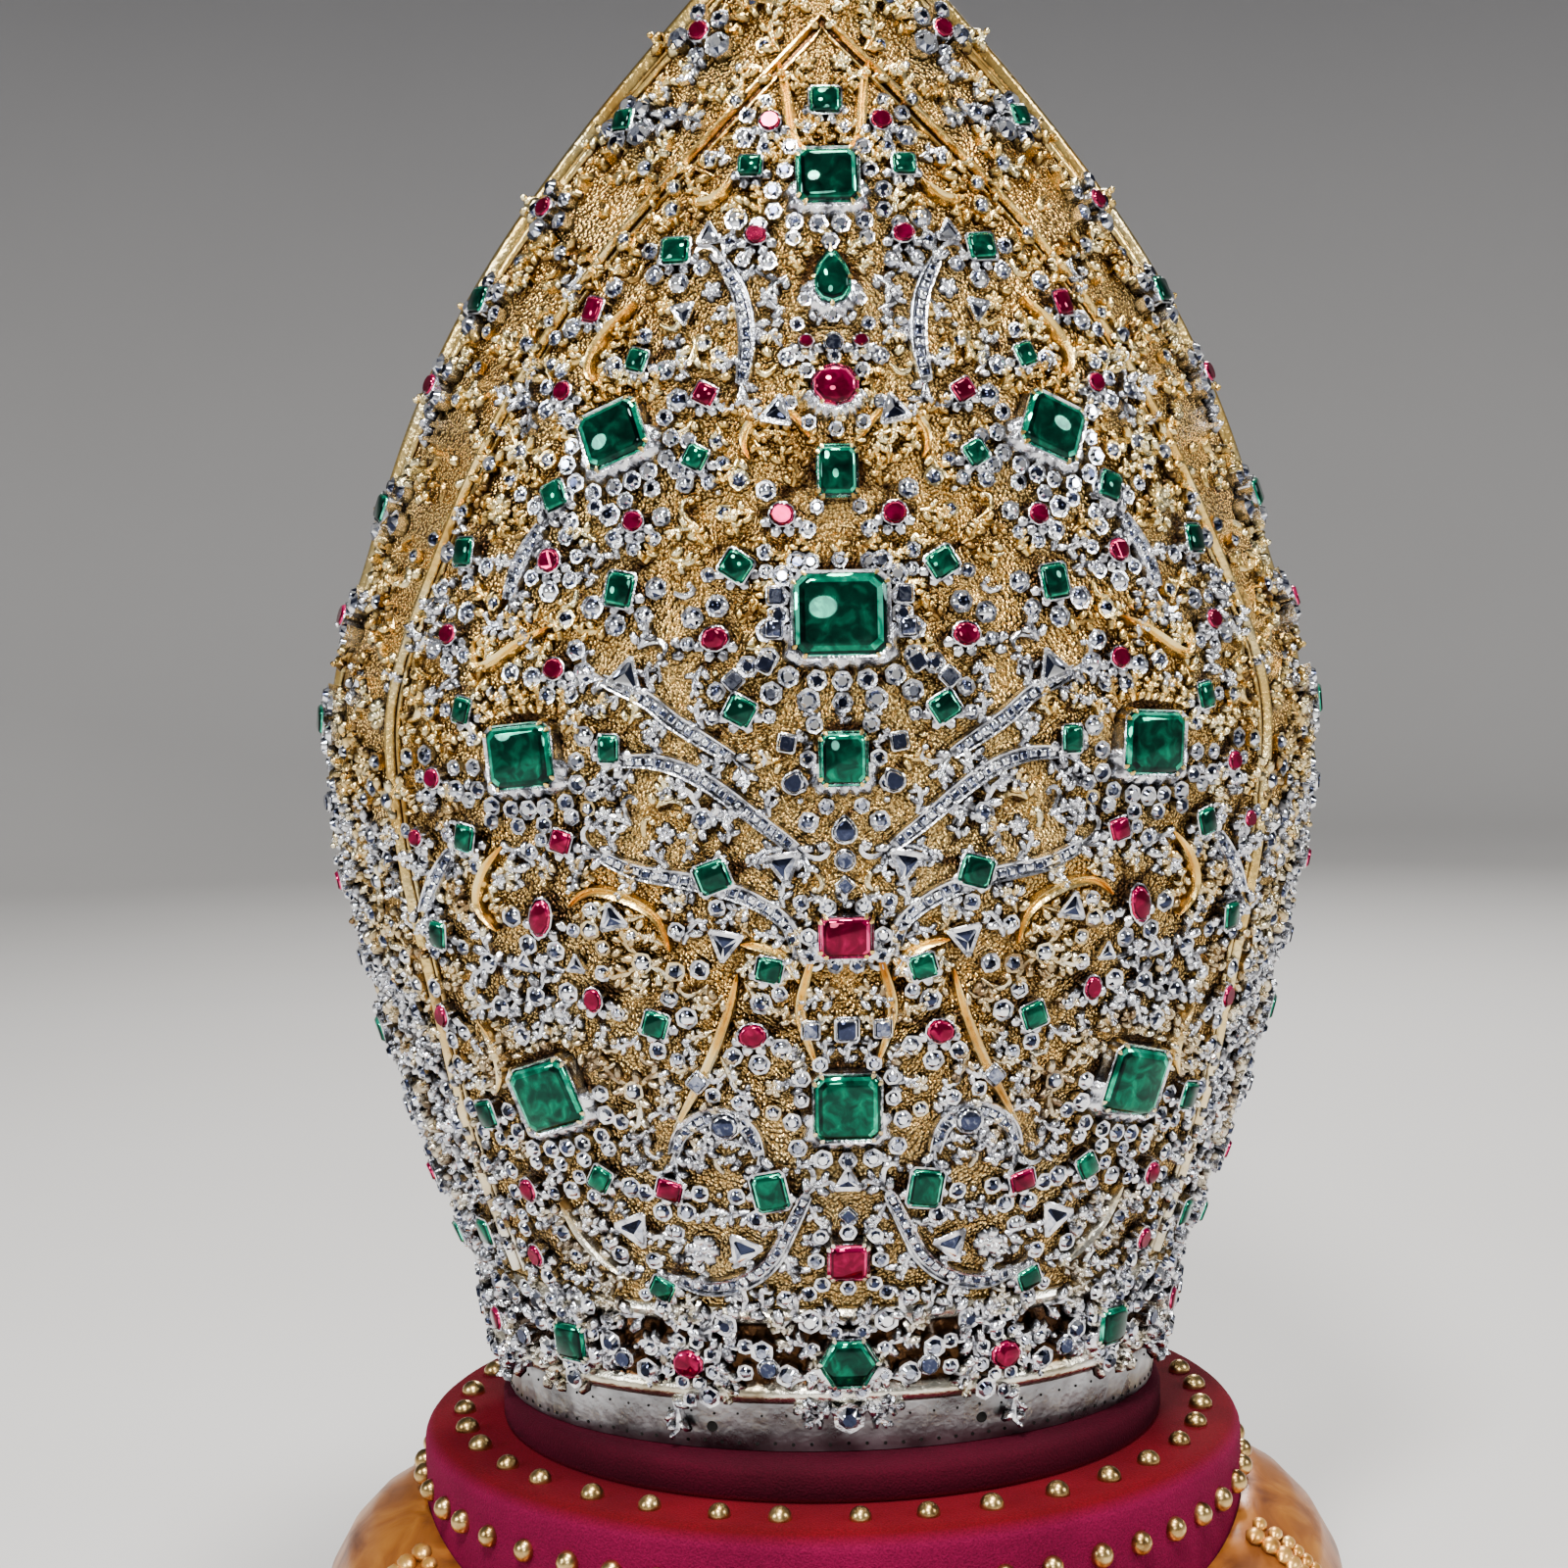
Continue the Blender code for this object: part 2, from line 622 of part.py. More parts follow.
def main():
    for item in list(bpy.data.objects):
        bpy.data.objects.remove(item)
    parts = make_collection("bishop_mitre")
    cutters = make_collection("cutters")
    materials = {
        "silver": make_material("silver", (0.62, 0.62, 0.60), 0.35, 1.0),
        "gilt": make_material("gilt", (0.80, 0.58, 0.22), 0.35, 1.0),
        "emerald": make_material("emerald", (0.0, 0.32, 0.17), 0.08, 0.0),
        "ruby": make_material("ruby", (0.62, 0.01, 0.10), 0.08, 0.0),
        "silk": make_material("silk", (0.34, 0.02, 0.04), 0.60, 0.0),
        "velvet": make_material("velvet", (0.40, 0.01, 0.06), 0.90, 0.0),
        "gilt_wood": make_material("gilt_wood", (0.55, 0.27, 0.07), 0.40, 0.6),
    }
    add_object("stand_foot", build_stand_foot(), materials["gilt_wood"], parts)
    add_object("stand_drum", build_stand_drum(), materials["velvet"], parts)
    add_object("stand_riser", build_stand_riser(), materials["velvet"], parts)
    add_object("head_band", build_head_band(), materials["silver"], parts)
    add_object("circlet", build_circlet(), materials["gilt"], parts)
    add_object("gore", build_gore(materials["silk"], parts), materials["silk"], parts)
    add_both_faces("panel", build_panel(materials["gilt"], parts, cutters), materials["gilt"], parts)
    add_both_faces("edge_moulding", build_edge_moulding(parts), materials["gilt"], parts)
    add_both_faces("inner_moulding", build_inner_moulding(parts), materials["gilt"], parts)
    add_stones(PANEL_STONES, panel_base, materials, parts)
    add_stones(CIRCLET_STONES, circlet_base, materials, parts)


main()
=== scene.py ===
"""Looks of a jewelled bishop mitre on its velvet display stand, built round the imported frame.

Metres, +Z up, the front faces -Y. What the front carries is made once, for the right half and
its mirrored left half, and the back takes a copy that is turned half round.
"""
import math

import bpy
import numpy as np
from mathutils import Matrix, Vector


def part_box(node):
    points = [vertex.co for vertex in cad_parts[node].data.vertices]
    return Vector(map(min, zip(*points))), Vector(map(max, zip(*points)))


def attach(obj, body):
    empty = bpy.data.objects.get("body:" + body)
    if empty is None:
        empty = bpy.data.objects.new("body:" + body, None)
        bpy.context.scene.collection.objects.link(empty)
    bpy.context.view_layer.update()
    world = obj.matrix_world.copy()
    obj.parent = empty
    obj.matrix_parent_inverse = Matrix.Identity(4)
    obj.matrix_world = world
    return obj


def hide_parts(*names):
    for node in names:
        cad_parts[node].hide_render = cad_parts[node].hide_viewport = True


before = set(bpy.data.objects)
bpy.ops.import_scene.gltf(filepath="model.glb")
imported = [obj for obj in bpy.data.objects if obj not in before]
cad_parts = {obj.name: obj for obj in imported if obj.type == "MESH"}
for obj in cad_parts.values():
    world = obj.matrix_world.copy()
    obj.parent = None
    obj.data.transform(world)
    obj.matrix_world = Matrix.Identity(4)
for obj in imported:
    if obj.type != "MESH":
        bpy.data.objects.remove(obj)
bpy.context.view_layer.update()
RANDOM = np.random.default_rng(7)

# Sizes of the frame, repeated from the part's source or read from its boxes
GAP = 0.0003
HALF_WIDTH = 0.144
PANEL_HEIGHT = 0.391
APEX_DEPTH = 0.060
PLATE = 0.0016
EDGE_RADIUS = 0.0026
EDGE_SETBACK = EDGE_RADIUS + GAP / 2
BORDER = 0.060
STONE = 0.0255
COLLET_HEIGHT = 0.0042
CROWN_HEIGHT = 0.0018
GORE_SPLIT = 0.43
GORE_VALLEY_RISE = 0.06
GORE_CLOTH = 0.0014
RIM_TAPER = 0.006
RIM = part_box("head_band")[0].z
HOOP_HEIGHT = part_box("circlet")[1].z - RIM
CIRCLET_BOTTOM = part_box("circlet")[0].z - RIM
PANEL_BOTTOM = RIM + HOOP_HEIGHT + GAP
RIM_HALF_WIDTH = HALF_WIDTH * 0.722 - RIM_TAPER
RIM_HALF_DEPTH = HALF_WIDTH * 0.722 * 0.865 - RIM_TAPER
DRUM_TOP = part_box("stand_drum")[1].z
DRUM_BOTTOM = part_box("stand_drum")[0].z
DRUM_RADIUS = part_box("stand_drum")[1].x
DRUM_ROUNDING = 0.006
RISER_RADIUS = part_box("stand_riser")[1].x
FOOT_BODY = DRUM_BOTTOM - GAP
FOOT_OVERHANG = 0.032
FOOT_COLLAR = 0.013
FOOT_WAVE = 0.007

# A panel's sections, as in the part's source: shares of the sizes above, turn in degrees
SECTION_COLUMNS = ("rise", "half", "edge", "bow", "turn", "border")
SECTIONS = np.array((
    (0.00, 0.722, 0.00, 0.865, 90, 0.74),
    (0.11, 0.835, 0.00, 0.825, 90, 0.86),
    (0.22, 0.920, 0.00, 0.795, 90, 0.97),
    (0.34, 0.985, 0.00, 0.770, 90, 1.00),
    (0.42, 0.990, 0.03, 0.760, 88, 0.95),
    (0.53, 0.903, 0.17, 0.745, 80, 0.86),
    (0.65, 0.775, 0.38, 0.690, 70, 0.83),
    (0.74, 0.630, 0.57, 0.620, 62, 0.80),
    (0.82, 0.460, 0.74, 0.545, 55, 0.78),
    (0.91, 0.240, 0.90, 0.460, 50, 0.70),
    (1.00, 0.010, 1.00, 0.420, 48, 0.62),
))

# The main stones of a panel and of the circlet, as in the part's source
STONE_COLUMNS = ("name", "side", "rise", "width", "height", "turn", "cut", "gem")
PANEL_STONES = (
    ("apex_emerald", 0.0, 0.782, 0.66, 0.62, 0, "square", "emerald"),
    ("pear_emerald", 0.0, 0.712, 0.44, 0.60, 0, "pear", "emerald"),
    ("upper_ruby", 0.0, 0.639, 0.50, 0.44, 0, "oval", "ruby"),
    ("upright_emerald", 0.0, 0.582, 0.42, 0.54, 0, "square", "emerald"),
    ("great_emerald", 0.0, 0.487, 1.00, 0.88, 0, "square", "emerald"),
    ("middle_emerald", 0.0, 0.391, 0.50, 0.56, 0, "square", "emerald"),
    ("middle_ruby", 0.0, 0.270, 0.56, 0.44, 0, "square", "ruby"),
    ("low_emerald", 0.0, 0.150, 0.72, 0.74, 0, "square", "emerald"),
    ("base_ruby", 0.0, 0.038, 0.44, 0.42, 0, "square", "ruby"),
    ("shoulder_emerald", 0.376, 0.610, 0.72, 0.62, -24, "square", "emerald"),
    ("side_emerald", 0.404, 0.393, 0.80, 0.68, -4, "square", "emerald"),
    ("flank_emerald", 0.436, 0.153, 0.82, 0.76, -14, "square", "emerald"),
)
CIRCLET_STONES = (
    ("circlet_hexagon", 0.0, 0.47, 0.66, 0.56, 0, "hexagon", "emerald"),
    ("circlet_ruby", 0.275, 0.44, 0.38, 0.34, 0, "oval", "ruby"),
    ("circlet_emerald", 0.52, 0.50, 0.46, 0.44, 0, "square", "emerald"),
)

# Diamonds round a main stone: from and to are degrees, 0 at its right and 90 above it
HALO_COLUMNS = ("name", "start", "end", "count", "margin", "radius")
HALOS = (
    ("great_emerald", -168, -12, 9, 0.0062, 0.0026),
    ("great_emerald", -150, -30, 7, 0.0118, 0.0027),
    ("great_emerald", 0, 50, 4, 0.0034, 0.0026),
    ("great_emerald", 60, 120, 3, 0.0030, 0.0020),
    ("apex_emerald", -165, -15, 8, 0.0056, 0.0023),
    ("apex_emerald", -140, -40, 5, 0.0104, 0.0021),
    ("apex_emerald", 10, 40, 2, 0.0030, 0.0020),
    ("pear_emerald", -140, -40, 3, 0.0026, 0.0019),
    ("upper_ruby", -160, -20, 5, 0.0058, 0.0018),
    ("upper_ruby", 30, 150, 3, 0.0024, 0.0018),
    ("upright_emerald", -120, -60, 2, 0.0026, 0.0018),
    ("middle_emerald", -150, -30, 4, 0.0058, 0.0021),
    ("middle_emerald", 0, 50, 2, 0.0028, 0.0022),
    ("middle_ruby", -150, -30, 4, 0.0026, 0.0018),
    ("middle_ruby", 0, 60, 2, 0.0026, 0.0022),
    ("low_emerald", -165, -15, 7, 0.0058, 0.0023),
    ("low_emerald", 10, 60, 3, 0.0030, 0.0020),
    ("base_ruby", -180, 135, 8, 0.0030, 0.0021),
    ("shoulder_emerald", -172, -8, 9, 0.0058, 0.0023),
    ("shoulder_emerald", -150, -30, 6, 0.0102, 0.0021),
    ("shoulder_emerald", 10, 40, 2, 0.0030, 0.0021),
    ("side_emerald", -172, -8, 9, 0.0058, 0.0023),
    ("side_emerald", -150, -30, 6, 0.0102, 0.0021),
    ("flank_emerald", -172, -8, 9, 0.0058, 0.0023),
    ("flank_emerald", -150, -30, 6, 0.0102, 0.0021),
)

# Small coloured stones on the right half: width and height in metres, turn in degrees
SMALL_COLUMNS = ("side", "rise", "width", "height", "turn", "cut", "gem")
SMALL_STONES = (
    (0.000, 0.835, 0.0072, 0.0066, 0, "square", "emerald"),
    (0.186, 0.821, 0.0052, 0.0050, 0, "oval", "ruby"),
    (0.173, 0.742, 0.0054, 0.0048, 20, "oval", "ruby"),
    (0.507, 0.695, 0.0048, 0.0062, 10, "square", "ruby"),
    (0.504, 0.640, 0.0050, 0.0050, 0, "oval", "ruby"),
    (0.224, 0.635, 0.0052, 0.0048, 30, "square", "ruby"),
    (0.051, 0.669, 0.0034, 0.0030, 0, "oval", "ruby"),
    (0.305, 0.551, 0.0052, 0.0050, -10, "oval", "ruby"),
    (0.082, 0.554, 0.0058, 0.0054, 20, "oval", "ruby"),
    (0.427, 0.525, 0.0060, 0.0058, 0, "oval", "ruby"),
    (0.568, 0.474, 0.0052, 0.0052, 0, "oval", "ruby"),
    (0.160, 0.472, 0.0066, 0.0056, -8, "oval", "ruby"),
    (0.371, 0.452, 0.0054, 0.0052, 0, "oval", "ruby"),
    (0.550, 0.376, 0.0050, 0.0050, 0, "oval", "ruby"),
    (0.348, 0.335, 0.0052, 0.0052, 15, "square", "ruby"),
    (0.591, 0.333, 0.0044, 0.0044, 0, "oval", "ruby"),
    (0.390, 0.282, 0.0058, 0.0096, 16, "oval", "ruby"),
    (0.332, 0.225, 0.0048, 0.0060, 0, "oval", "ruby"),
    (0.617, 0.204, 0.0046, 0.0060, 0, "oval", "ruby"),
    (0.121, 0.202, 0.0070, 0.0058, -8, "oval", "ruby"),
    (0.262, 0.090, 0.0064, 0.0052, 16, "square", "ruby"),
    (0.525, 0.080, 0.0050, 0.0064, 0, "oval", "ruby"),
    (0.563, 0.028, 0.0046, 0.0062, 0, "oval", "ruby"),
    (0.221, 0.790, 0.0056, 0.0052, 0, "square", "emerald"),
    (0.357, 0.733, 0.0070, 0.0064, 4, "square", "emerald"),
    (0.367, 0.659, 0.0050, 0.0054, 20, "square", "emerald"),
    (0.223, 0.593, 0.0054, 0.0054, 30, "square", "emerald"),
    (0.451, 0.569, 0.0062, 0.0066, -20, "square", "emerald"),
    (0.600, 0.531, 0.0060, 0.0070, 0, "square", "emerald"),
    (0.142, 0.520, 0.0068, 0.0062, 30, "square", "emerald"),
    (0.302, 0.505, 0.0068, 0.0080, 8, "square", "emerald"),
    (0.503, 0.423, 0.0050, 0.0062, 10, "square", "emerald"),
    (0.122, 0.424, 0.0066, 0.0062, 32, "square", "emerald"),
    (0.282, 0.399, 0.0050, 0.0064, 0, "square", "emerald"),
    (0.496, 0.335, 0.0056, 0.0064, 16, "square", "emerald"),
    (0.157, 0.312, 0.0078, 0.0070, -16, "square", "emerald"),
    (0.579, 0.265, 0.0052, 0.0068, 8, "square", "emerald"),
    (0.095, 0.248, 0.0062, 0.0058, 16, "square", "emerald"),
    (0.248, 0.209, 0.0060, 0.0062, 20, "square", "emerald"),
    (0.570, 0.134, 0.0060, 0.0070, -10, "square", "emerald"),
    (0.373, 0.095, 0.0054, 0.0064, 30, "square", "emerald"),
    (0.112, 0.090, 0.0080, 0.0094, -8, "square", "emerald"),
    (0.710, 0.036, 0.0056, 0.0070, 0, "square", "emerald"),
    (0.307, 0.015, 0.0060, 0.0058, 24, "square", "emerald"),
)

# Table-cut and triangular diamonds on the right half, width in metres, turn in degrees
DIAMOND_COLUMNS = ("side", "rise", "width", "turn", "cut")
DIAMONDS = (
    (0.000, 0.343, 0.0068, 0, "pear"),
    (0.000, 0.322, 0.0052, 0, "oval"),
    (0.000, 0.205, 0.0060, 0, "square"),
    (0.046, 0.205, 0.0046, 0, "square"),
    (0.000, 0.098, 0.0062, 0, "triangle"),
    (0.000, 0.072, 0.0036, 45, "square"),
    (0.000, 0.305, 0.0036, 45, "square"),
    (0.000, 0.668, 0.0050, 0, "oval"),
    (0.269, 0.449, 0.0080, 20, "triangle"),
    (0.071, 0.317, 0.0076, 170, "triangle"),
    (0.290, 0.284, 0.0068, -10, "triangle"),
    (0.149, 0.264, 0.0076, 190, "triangle"),
    (0.334, 0.056, 0.0086, 160, "triangle"),
    (0.164, 0.044, 0.0078, 200, "triangle"),
    (0.097, 0.624, 0.0070, 12, "triangle"),
    (0.169, 0.137, 0.0072, 80, "oval"),
    (0.058, 0.376, 0.0060, 30, "pear"),
    (0.066, 0.402, 0.0044, 10, "square"),
    (0.086, 0.478, 0.0048, 0, "square"),
    (0.086, 0.500, 0.0044, 0, "square"),
    (0.094, 0.455, 0.0044, 30, "square"),
    (0.132, 0.444, 0.0044, 45, "square"),
    (0.350, 0.250, 0.0046, 0, "triangle"),
    (0.200, 0.168, 0.0046, 45, "square"),
    (0.430, 0.250, 0.0050, 12, "triangle"),
    (0.290, 0.745, 0.0056, 0, "triangle"),
    (0.300, 0.690, 0.0056, 170, "triangle"),
)

# Stones of the border band on the right half. out is the distance inside the edge, in metres.
BORDER_COLUMNS = ("rise", "out", "size", "cut", "gem")
BORDER_STONES = (
    (0.886, 0.016, 0.0054, "oval", "ruby"),
    (0.826, 0.019, 0.0056, "square", "emerald"),
    (0.769, 0.016, 0.0054, "oval", "ruby"),
    (0.707, 0.015, 0.0066, "square", "emerald"),
    (0.649, 0.014, 0.0056, "oval", "ruby"),
    (0.562, 0.015, 0.0070, "square", "emerald"),
    (0.483, 0.013, 0.0060, "oval", "ruby"),
    (0.409, 0.016, 0.0070, "square", "emerald"),
    (0.350, 0.022, 0.0050, "oval", "diamond"),
    (0.292, 0.018, 0.0056, "oval", "ruby"),
    (0.236, 0.022, 0.0052, "oval", "diamond"),
    (0.180, 0.018, 0.0060, "square", "emerald"),
    (0.124, 0.022, 0.0052, "oval", "diamond"),
    (0.072, 0.018, 0.0056, "oval", "ruby"),
    (0.026, 0.020, 0.0056, "square", "emerald"),
)

# Scrolls on the right half: a double rail set with square diamonds, or a plain leafy stem
DIAMOND_SCROLLS = (
    ((0.240, 0.725), (0.189, 0.702), (0.164, 0.672), (0.164, 0.642)),
    ((0.130, 0.392), (0.204, 0.417), (0.238, 0.431), (0.302, 0.445)),
    ((0.057, 0.330), (0.098, 0.348), (0.139, 0.367), (0.181, 0.382), (0.225, 0.390), (0.270, 0.390)),
    ((0.062, 0.262), (0.070, 0.279), (0.117, 0.297), (0.183, 0.308), (0.252, 0.314), (0.298, 0.325)),
    ((0.124, 0.114), (0.137, 0.135), (0.185, 0.144), (0.233, 0.131), (0.250, 0.114)),
    ((0.060, 0.086), (0.085, 0.063), (0.119, 0.036), (0.169, 0.020), (0.230, 0.014), (0.280, 0.020)),
    ((0.467, 0.549), (0.487, 0.523), (0.485, 0.499)),
    ((0.531, 0.324), (0.576, 0.301), (0.617, 0.277)),
)
PLAIN_SCROLLS = (
    ((0.044, 0.606), (0.065, 0.620), (0.098, 0.627), (0.136, 0.620), (0.156, 0.605), (0.138, 0.592)),
    ((0.219, 0.260), (0.231, 0.283), (0.275, 0.297), (0.324, 0.301), (0.350, 0.289)),
    ((0.059, 0.238), (0.072, 0.254), (0.100, 0.263), (0.129, 0.265)),
    ((0.136, 0.244), (0.153, 0.215), (0.190, 0.174), (0.245, 0.131)),
    ((0.372, 0.018), (0.416, 0.030), (0.451, 0.047), (0.470, 0.072)),
    ((0.040, 0.180), (0.060, 0.215), (0.050, 0.240), (0.038, 0.262)),
    ((0.420, 0.700), (0.470, 0.680), (0.480, 0.655), (0.440, 0.645)),
    ((0.270, 0.780), (0.330, 0.765), (0.380, 0.770)),
    ((0.400, 0.480), (0.440, 0.470), (0.500, 0.450), (0.520, 0.470)),
    ((0.440, 0.330), (0.480, 0.310), (0.500, 0.285), (0.470, 0.270)),
    ((0.540, 0.200), (0.520, 0.170), (0.540, 0.150)),
    ((0.060, 0.800), (0.110, 0.812), (0.150, 0.845), (0.200, 0.865)),
)

# The rings of the circlet's ornament: side is a share of a quarter turn from the front
CIRCLET_CLUSTERS = (
    (0.135, 0.42, 0.0058, "oval", "diamond"),
    (0.400, 0.42, 0.0056, "oval", "diamond"),
    (0.660, 0.42, 0.0056, "oval", "diamond"),
    (0.780, 0.46, 0.0074, "oval", "ruby"),
    (0.910, 0.42, 0.0056, "oval", "diamond"),
)

# The camera, fitted to the photograph: distances in metres, angles in degrees
CAMERA_PLACE = (-0.04836, -0.89870, RIM + 0.258)
CAMERA_AZIMUTH = -3.08
CAMERA_PITCH = -5.0
CAMERA_ROLL = 1.02
CAMERA_YAW = 0.704
CAMERA_LENS = 68.85
CAMERA_SENSOR = 36.0

LOOKS = {}


def rows_of(columns, table):
    """The rows of a table as dictionaries."""
    return [dict(zip(columns, row)) for row in table]


# Surfaces of the frame

FINE_RISES = np.linspace(0.0, 1.0, 401)


def fine_column(name):
    """A column of SECTIONS on a fine scale, on the smooth curve that the part's source uses."""
    rises, values = SECTIONS[:, 0], SECTIONS[:, SECTION_COLUMNS.index(name)]
    slopes = np.gradient(values, rises)
    high = np.clip(np.searchsorted(rises, FINE_RISES, side="right"), 1, len(rises) - 1)
    low = high - 1
    span = rises[high] - rises[low]
    t = (FINE_RISES - rises[low]) / span
    start = (2 * t**3 - 3 * t**2 + 1) * values[low] + (t**3 - 2 * t**2 + t) * span * slopes[low]
    end = (3 * t**2 - 2 * t**3) * values[high] + (t**3 - t**2) * span * slopes[high]
    return start + end


FINE = {name: fine_column(name) for name in SECTION_COLUMNS[1:]}


def column(name, rise):
    """A column of SECTIONS at any rises."""
    return np.interp(rise, FINE_RISES, FINE[name])


def panel_base(side, rise):
    """Points on the front panel's outer face. side runs from -1 at the left edge to 1."""
    side, rise = np.broadcast_arrays(np.asarray(side, float), np.asarray(rise, float))
    half = HALF_WIDTH * column("half", rise)
    edge = APEX_DEPTH * np.maximum(column("edge", rise), 0.0) + EDGE_SETBACK
    bow = half * column("bow", rise) - EDGE_SETBACK
    turn = np.radians(column("turn", rise))
    angle = side * turn
    depth = edge + bow * (np.cos(angle) - np.cos(turn)) / (1 - np.cos(turn))
    height = PANEL_BOTTOM + PANEL_HEIGHT * rise
    return np.stack([half * np.sin(angle) / np.sin(turn), -depth, height], -1)


def hoop_point(angle, height, out):
    """Points of the oval hoops, at angles from +X, heights above the rim and distances out."""
    angle, height, out = np.broadcast_arrays(*(np.asarray(v, float) for v in (angle, height, out)))
    taper = RIM_TAPER * height / HOOP_HEIGHT
    x = (RIM_HALF_WIDTH + taper + out) * np.cos(angle)
    y = (RIM_HALF_DEPTH + taper + out) * np.sin(angle)
    return np.stack([x, y, RIM + height], -1)


def circlet_base(side, rise):
    """Points on the front of the circlet. side is a share of a quarter turn."""
    height = CIRCLET_BOTTOM + (HOOP_HEIGHT - CIRCLET_BOTTOM) * np.asarray(rise, float)
    return hoop_point(math.pi / 2 * (np.asarray(side, float) - 1), height, 0.0)


def unit(vectors):
    """Vectors of length one."""
    return vectors / np.linalg.norm(vectors, axis=-1, keepdims=True)


PROBE_STEP = 0.002


def axes_on(base, side, rise):
    """Points of a surface with its directions across, up and out."""
    step = PROBE_STEP
    side, rise = np.asarray(side, float), np.asarray(rise, float)
    across = unit(base(side + step, rise) - base(side - step, rise))
    climb = base(side, np.minimum(rise + step, 1)) - base(side, rise - step)
    out = unit(np.cross(across, climb))
    return base(side, rise), across, np.cross(out, across), out


def lifted(base, side, rise, lift):
    """Points at heights above a surface."""
    point, _, _, out = axes_on(base, side, rise)
    return point + out * np.asarray(lift, float)[..., None]


def shifted(base, side, rise, right, up):
    """The side and rise that lie small distances to the right and up along a surface."""
    step = PROBE_STEP
    point, across, upward, _ = axes_on(base, side, rise)
    along = (base(side + step, rise) - point) / step
    climb = (base(side, rise + step) - point) / step
    matrix = np.array([[along @ across, climb @ across], [along @ upward, climb @ upward]])
    change = np.linalg.solve(matrix, [right, up])
    return side + change[0], rise + change[1]


ARC_SIDES = np.linspace(1.0, 0.0, 61)


def arc_from_edge(rise):
    """Arc lengths from a section's edge to each of ARC_SIDES."""
    steps = np.linalg.norm(np.diff(panel_base(ARC_SIDES, rise), axis=0), axis=1)
    return np.concatenate(([0.0], np.cumsum(steps)))


def side_inset(rise, inset):
    """The side that lies a distance inside a panel's edge, beyond 1 for one outside it."""
    arc = arc_from_edge(rise)
    if inset < 0:
        return 1.0 - inset / arc[-1]
    return float(np.interp(inset, arc, ARC_SIDES))


def border_at(rise):
    """Width of the jewelled border."""
    return BORDER * column("border", rise)


def rise_where(inset_at):
    """The rise at which an inset line reaches the centre line, found by halving."""
    low, high = 0.6, 1.0
    for _ in range(30):
        middle = (low + high) / 2
        if arc_from_edge(middle)[-1] > inset_at(middle):
            low = middle
        else:
            high = middle
    return low


# Shapes

# Height above its surface at which metal counts as clean and lit; lower parts are painted darker as shade,
# together with tarnish
CLEAN_AND_LIT_HEIGHT = 0.0024


class Shape:
    """Vertices and faces. Each face has a look and a painted facet light, from dark to bright, that a gem's
    facet is painted with; each vertex has a clean-and-lit value from 0 to 1, low where the metal is painted
    dark as shade together with tarnish.
    """

    def __init__(self, verts, faces, look, painted_facet_lights=0.5, clean=None):
        self.verts = np.asarray(verts, float)
        self.sizes = np.array([len(face) for face in faces])
        self.loops = np.concatenate([np.asarray(face) for face in faces])
        self.looks = np.array([look] * len(faces))
        self.painted_facet_lights = np.broadcast_to(painted_facet_lights, len(faces)).astype(float)
        # By default a vertex is painted darker the lower it stands over its surface: painted shade together
        # with tarnish
        height = self.verts[:, 2] / CLEAN_AND_LIT_HEIGHT if clean is None else np.asarray(clean, float).ravel()
        self.clean = np.clip(height, 0.0, 1.0)

    def copy_with(self, verts, flipped=False):
        """The same faces on other vertices, turned inside out if the vertices are mirrored."""
        other = Shape.__new__(Shape)
        other.verts = verts
        other.sizes, other.looks, other.painted_facet_lights = self.sizes, self.looks, self.painted_facet_lights
        other.loops, other.clean = self.loops, self.clean
        if flipped:
            ends = np.cumsum(self.sizes)
            places = np.arange(len(self.loops))
            owner = np.repeat(np.arange(len(self.sizes)), self.sizes)
            other.loops = self.loops[(ends - self.sizes + ends - 1)[owner] - places]
        return other

    def moved(self, x=0.0, y=0.0, z=0.0, turn=0.0, scale=1.0, tilt=0.0):
        """Scaled, tilted about x, turned about z and then moved."""
        matrix = (Matrix.Rotation(turn, 3, "Z") @ Matrix.Rotation(tilt, 3, "X")) * scale
        return self.copy_with(self.verts @ np.array(matrix).T + np.array([x, y, z]))

    def mirrored(self):
        """Mirrored left to right."""
        return self.copy_with(self.verts * np.array([-1.0, 1.0, 1.0]), flipped=True)


GEM_LOOKS = ("emerald", "ruby", "diamond")


def merged(shapes):
    """Several shapes as one."""
    whole = Shape.__new__(Shape)
    offsets = np.cumsum([0] + [len(shape.verts) for shape in shapes[:-1]])
    whole.verts = np.concatenate([shape.verts for shape in shapes])
    whole.sizes = np.concatenate([shape.sizes for shape in shapes])
    whole.loops = np.concatenate([shape.loops + k for shape, k in zip(shapes, offsets)])
    whole.looks = np.concatenate([shape.looks for shape in shapes])
    whole.painted_facet_lights = np.concatenate([shape.painted_facet_lights for shape in shapes])
    whole.clean = np.concatenate([shape.clean for shape in shapes])
    return whole


def band_faces(rows, count):
    """The faces between closed profiles that follow each other."""
    faces = []
    for low in range(0, (rows - 1) * count, count):
        high = low + count
        for k in range(count):
            n = (k + 1) % count
            faces.append((low + k, low + n, high + n, high + k))
    return faces


def stack(rings, look, painted_facet_lights=0.5, clean=None):
    """A closed shape through rings of points, from the bottom up."""
    count = len(rings[0])
    faces = band_faces(len(rings), count)
    faces.append(tuple(range((len(rings) - 1) * count, len(rings) * count)))
    faces.append(tuple(range(count - 1, -1, -1)))
    return Shape(np.concatenate(rings), faces, look, painted_facet_lights, clean)


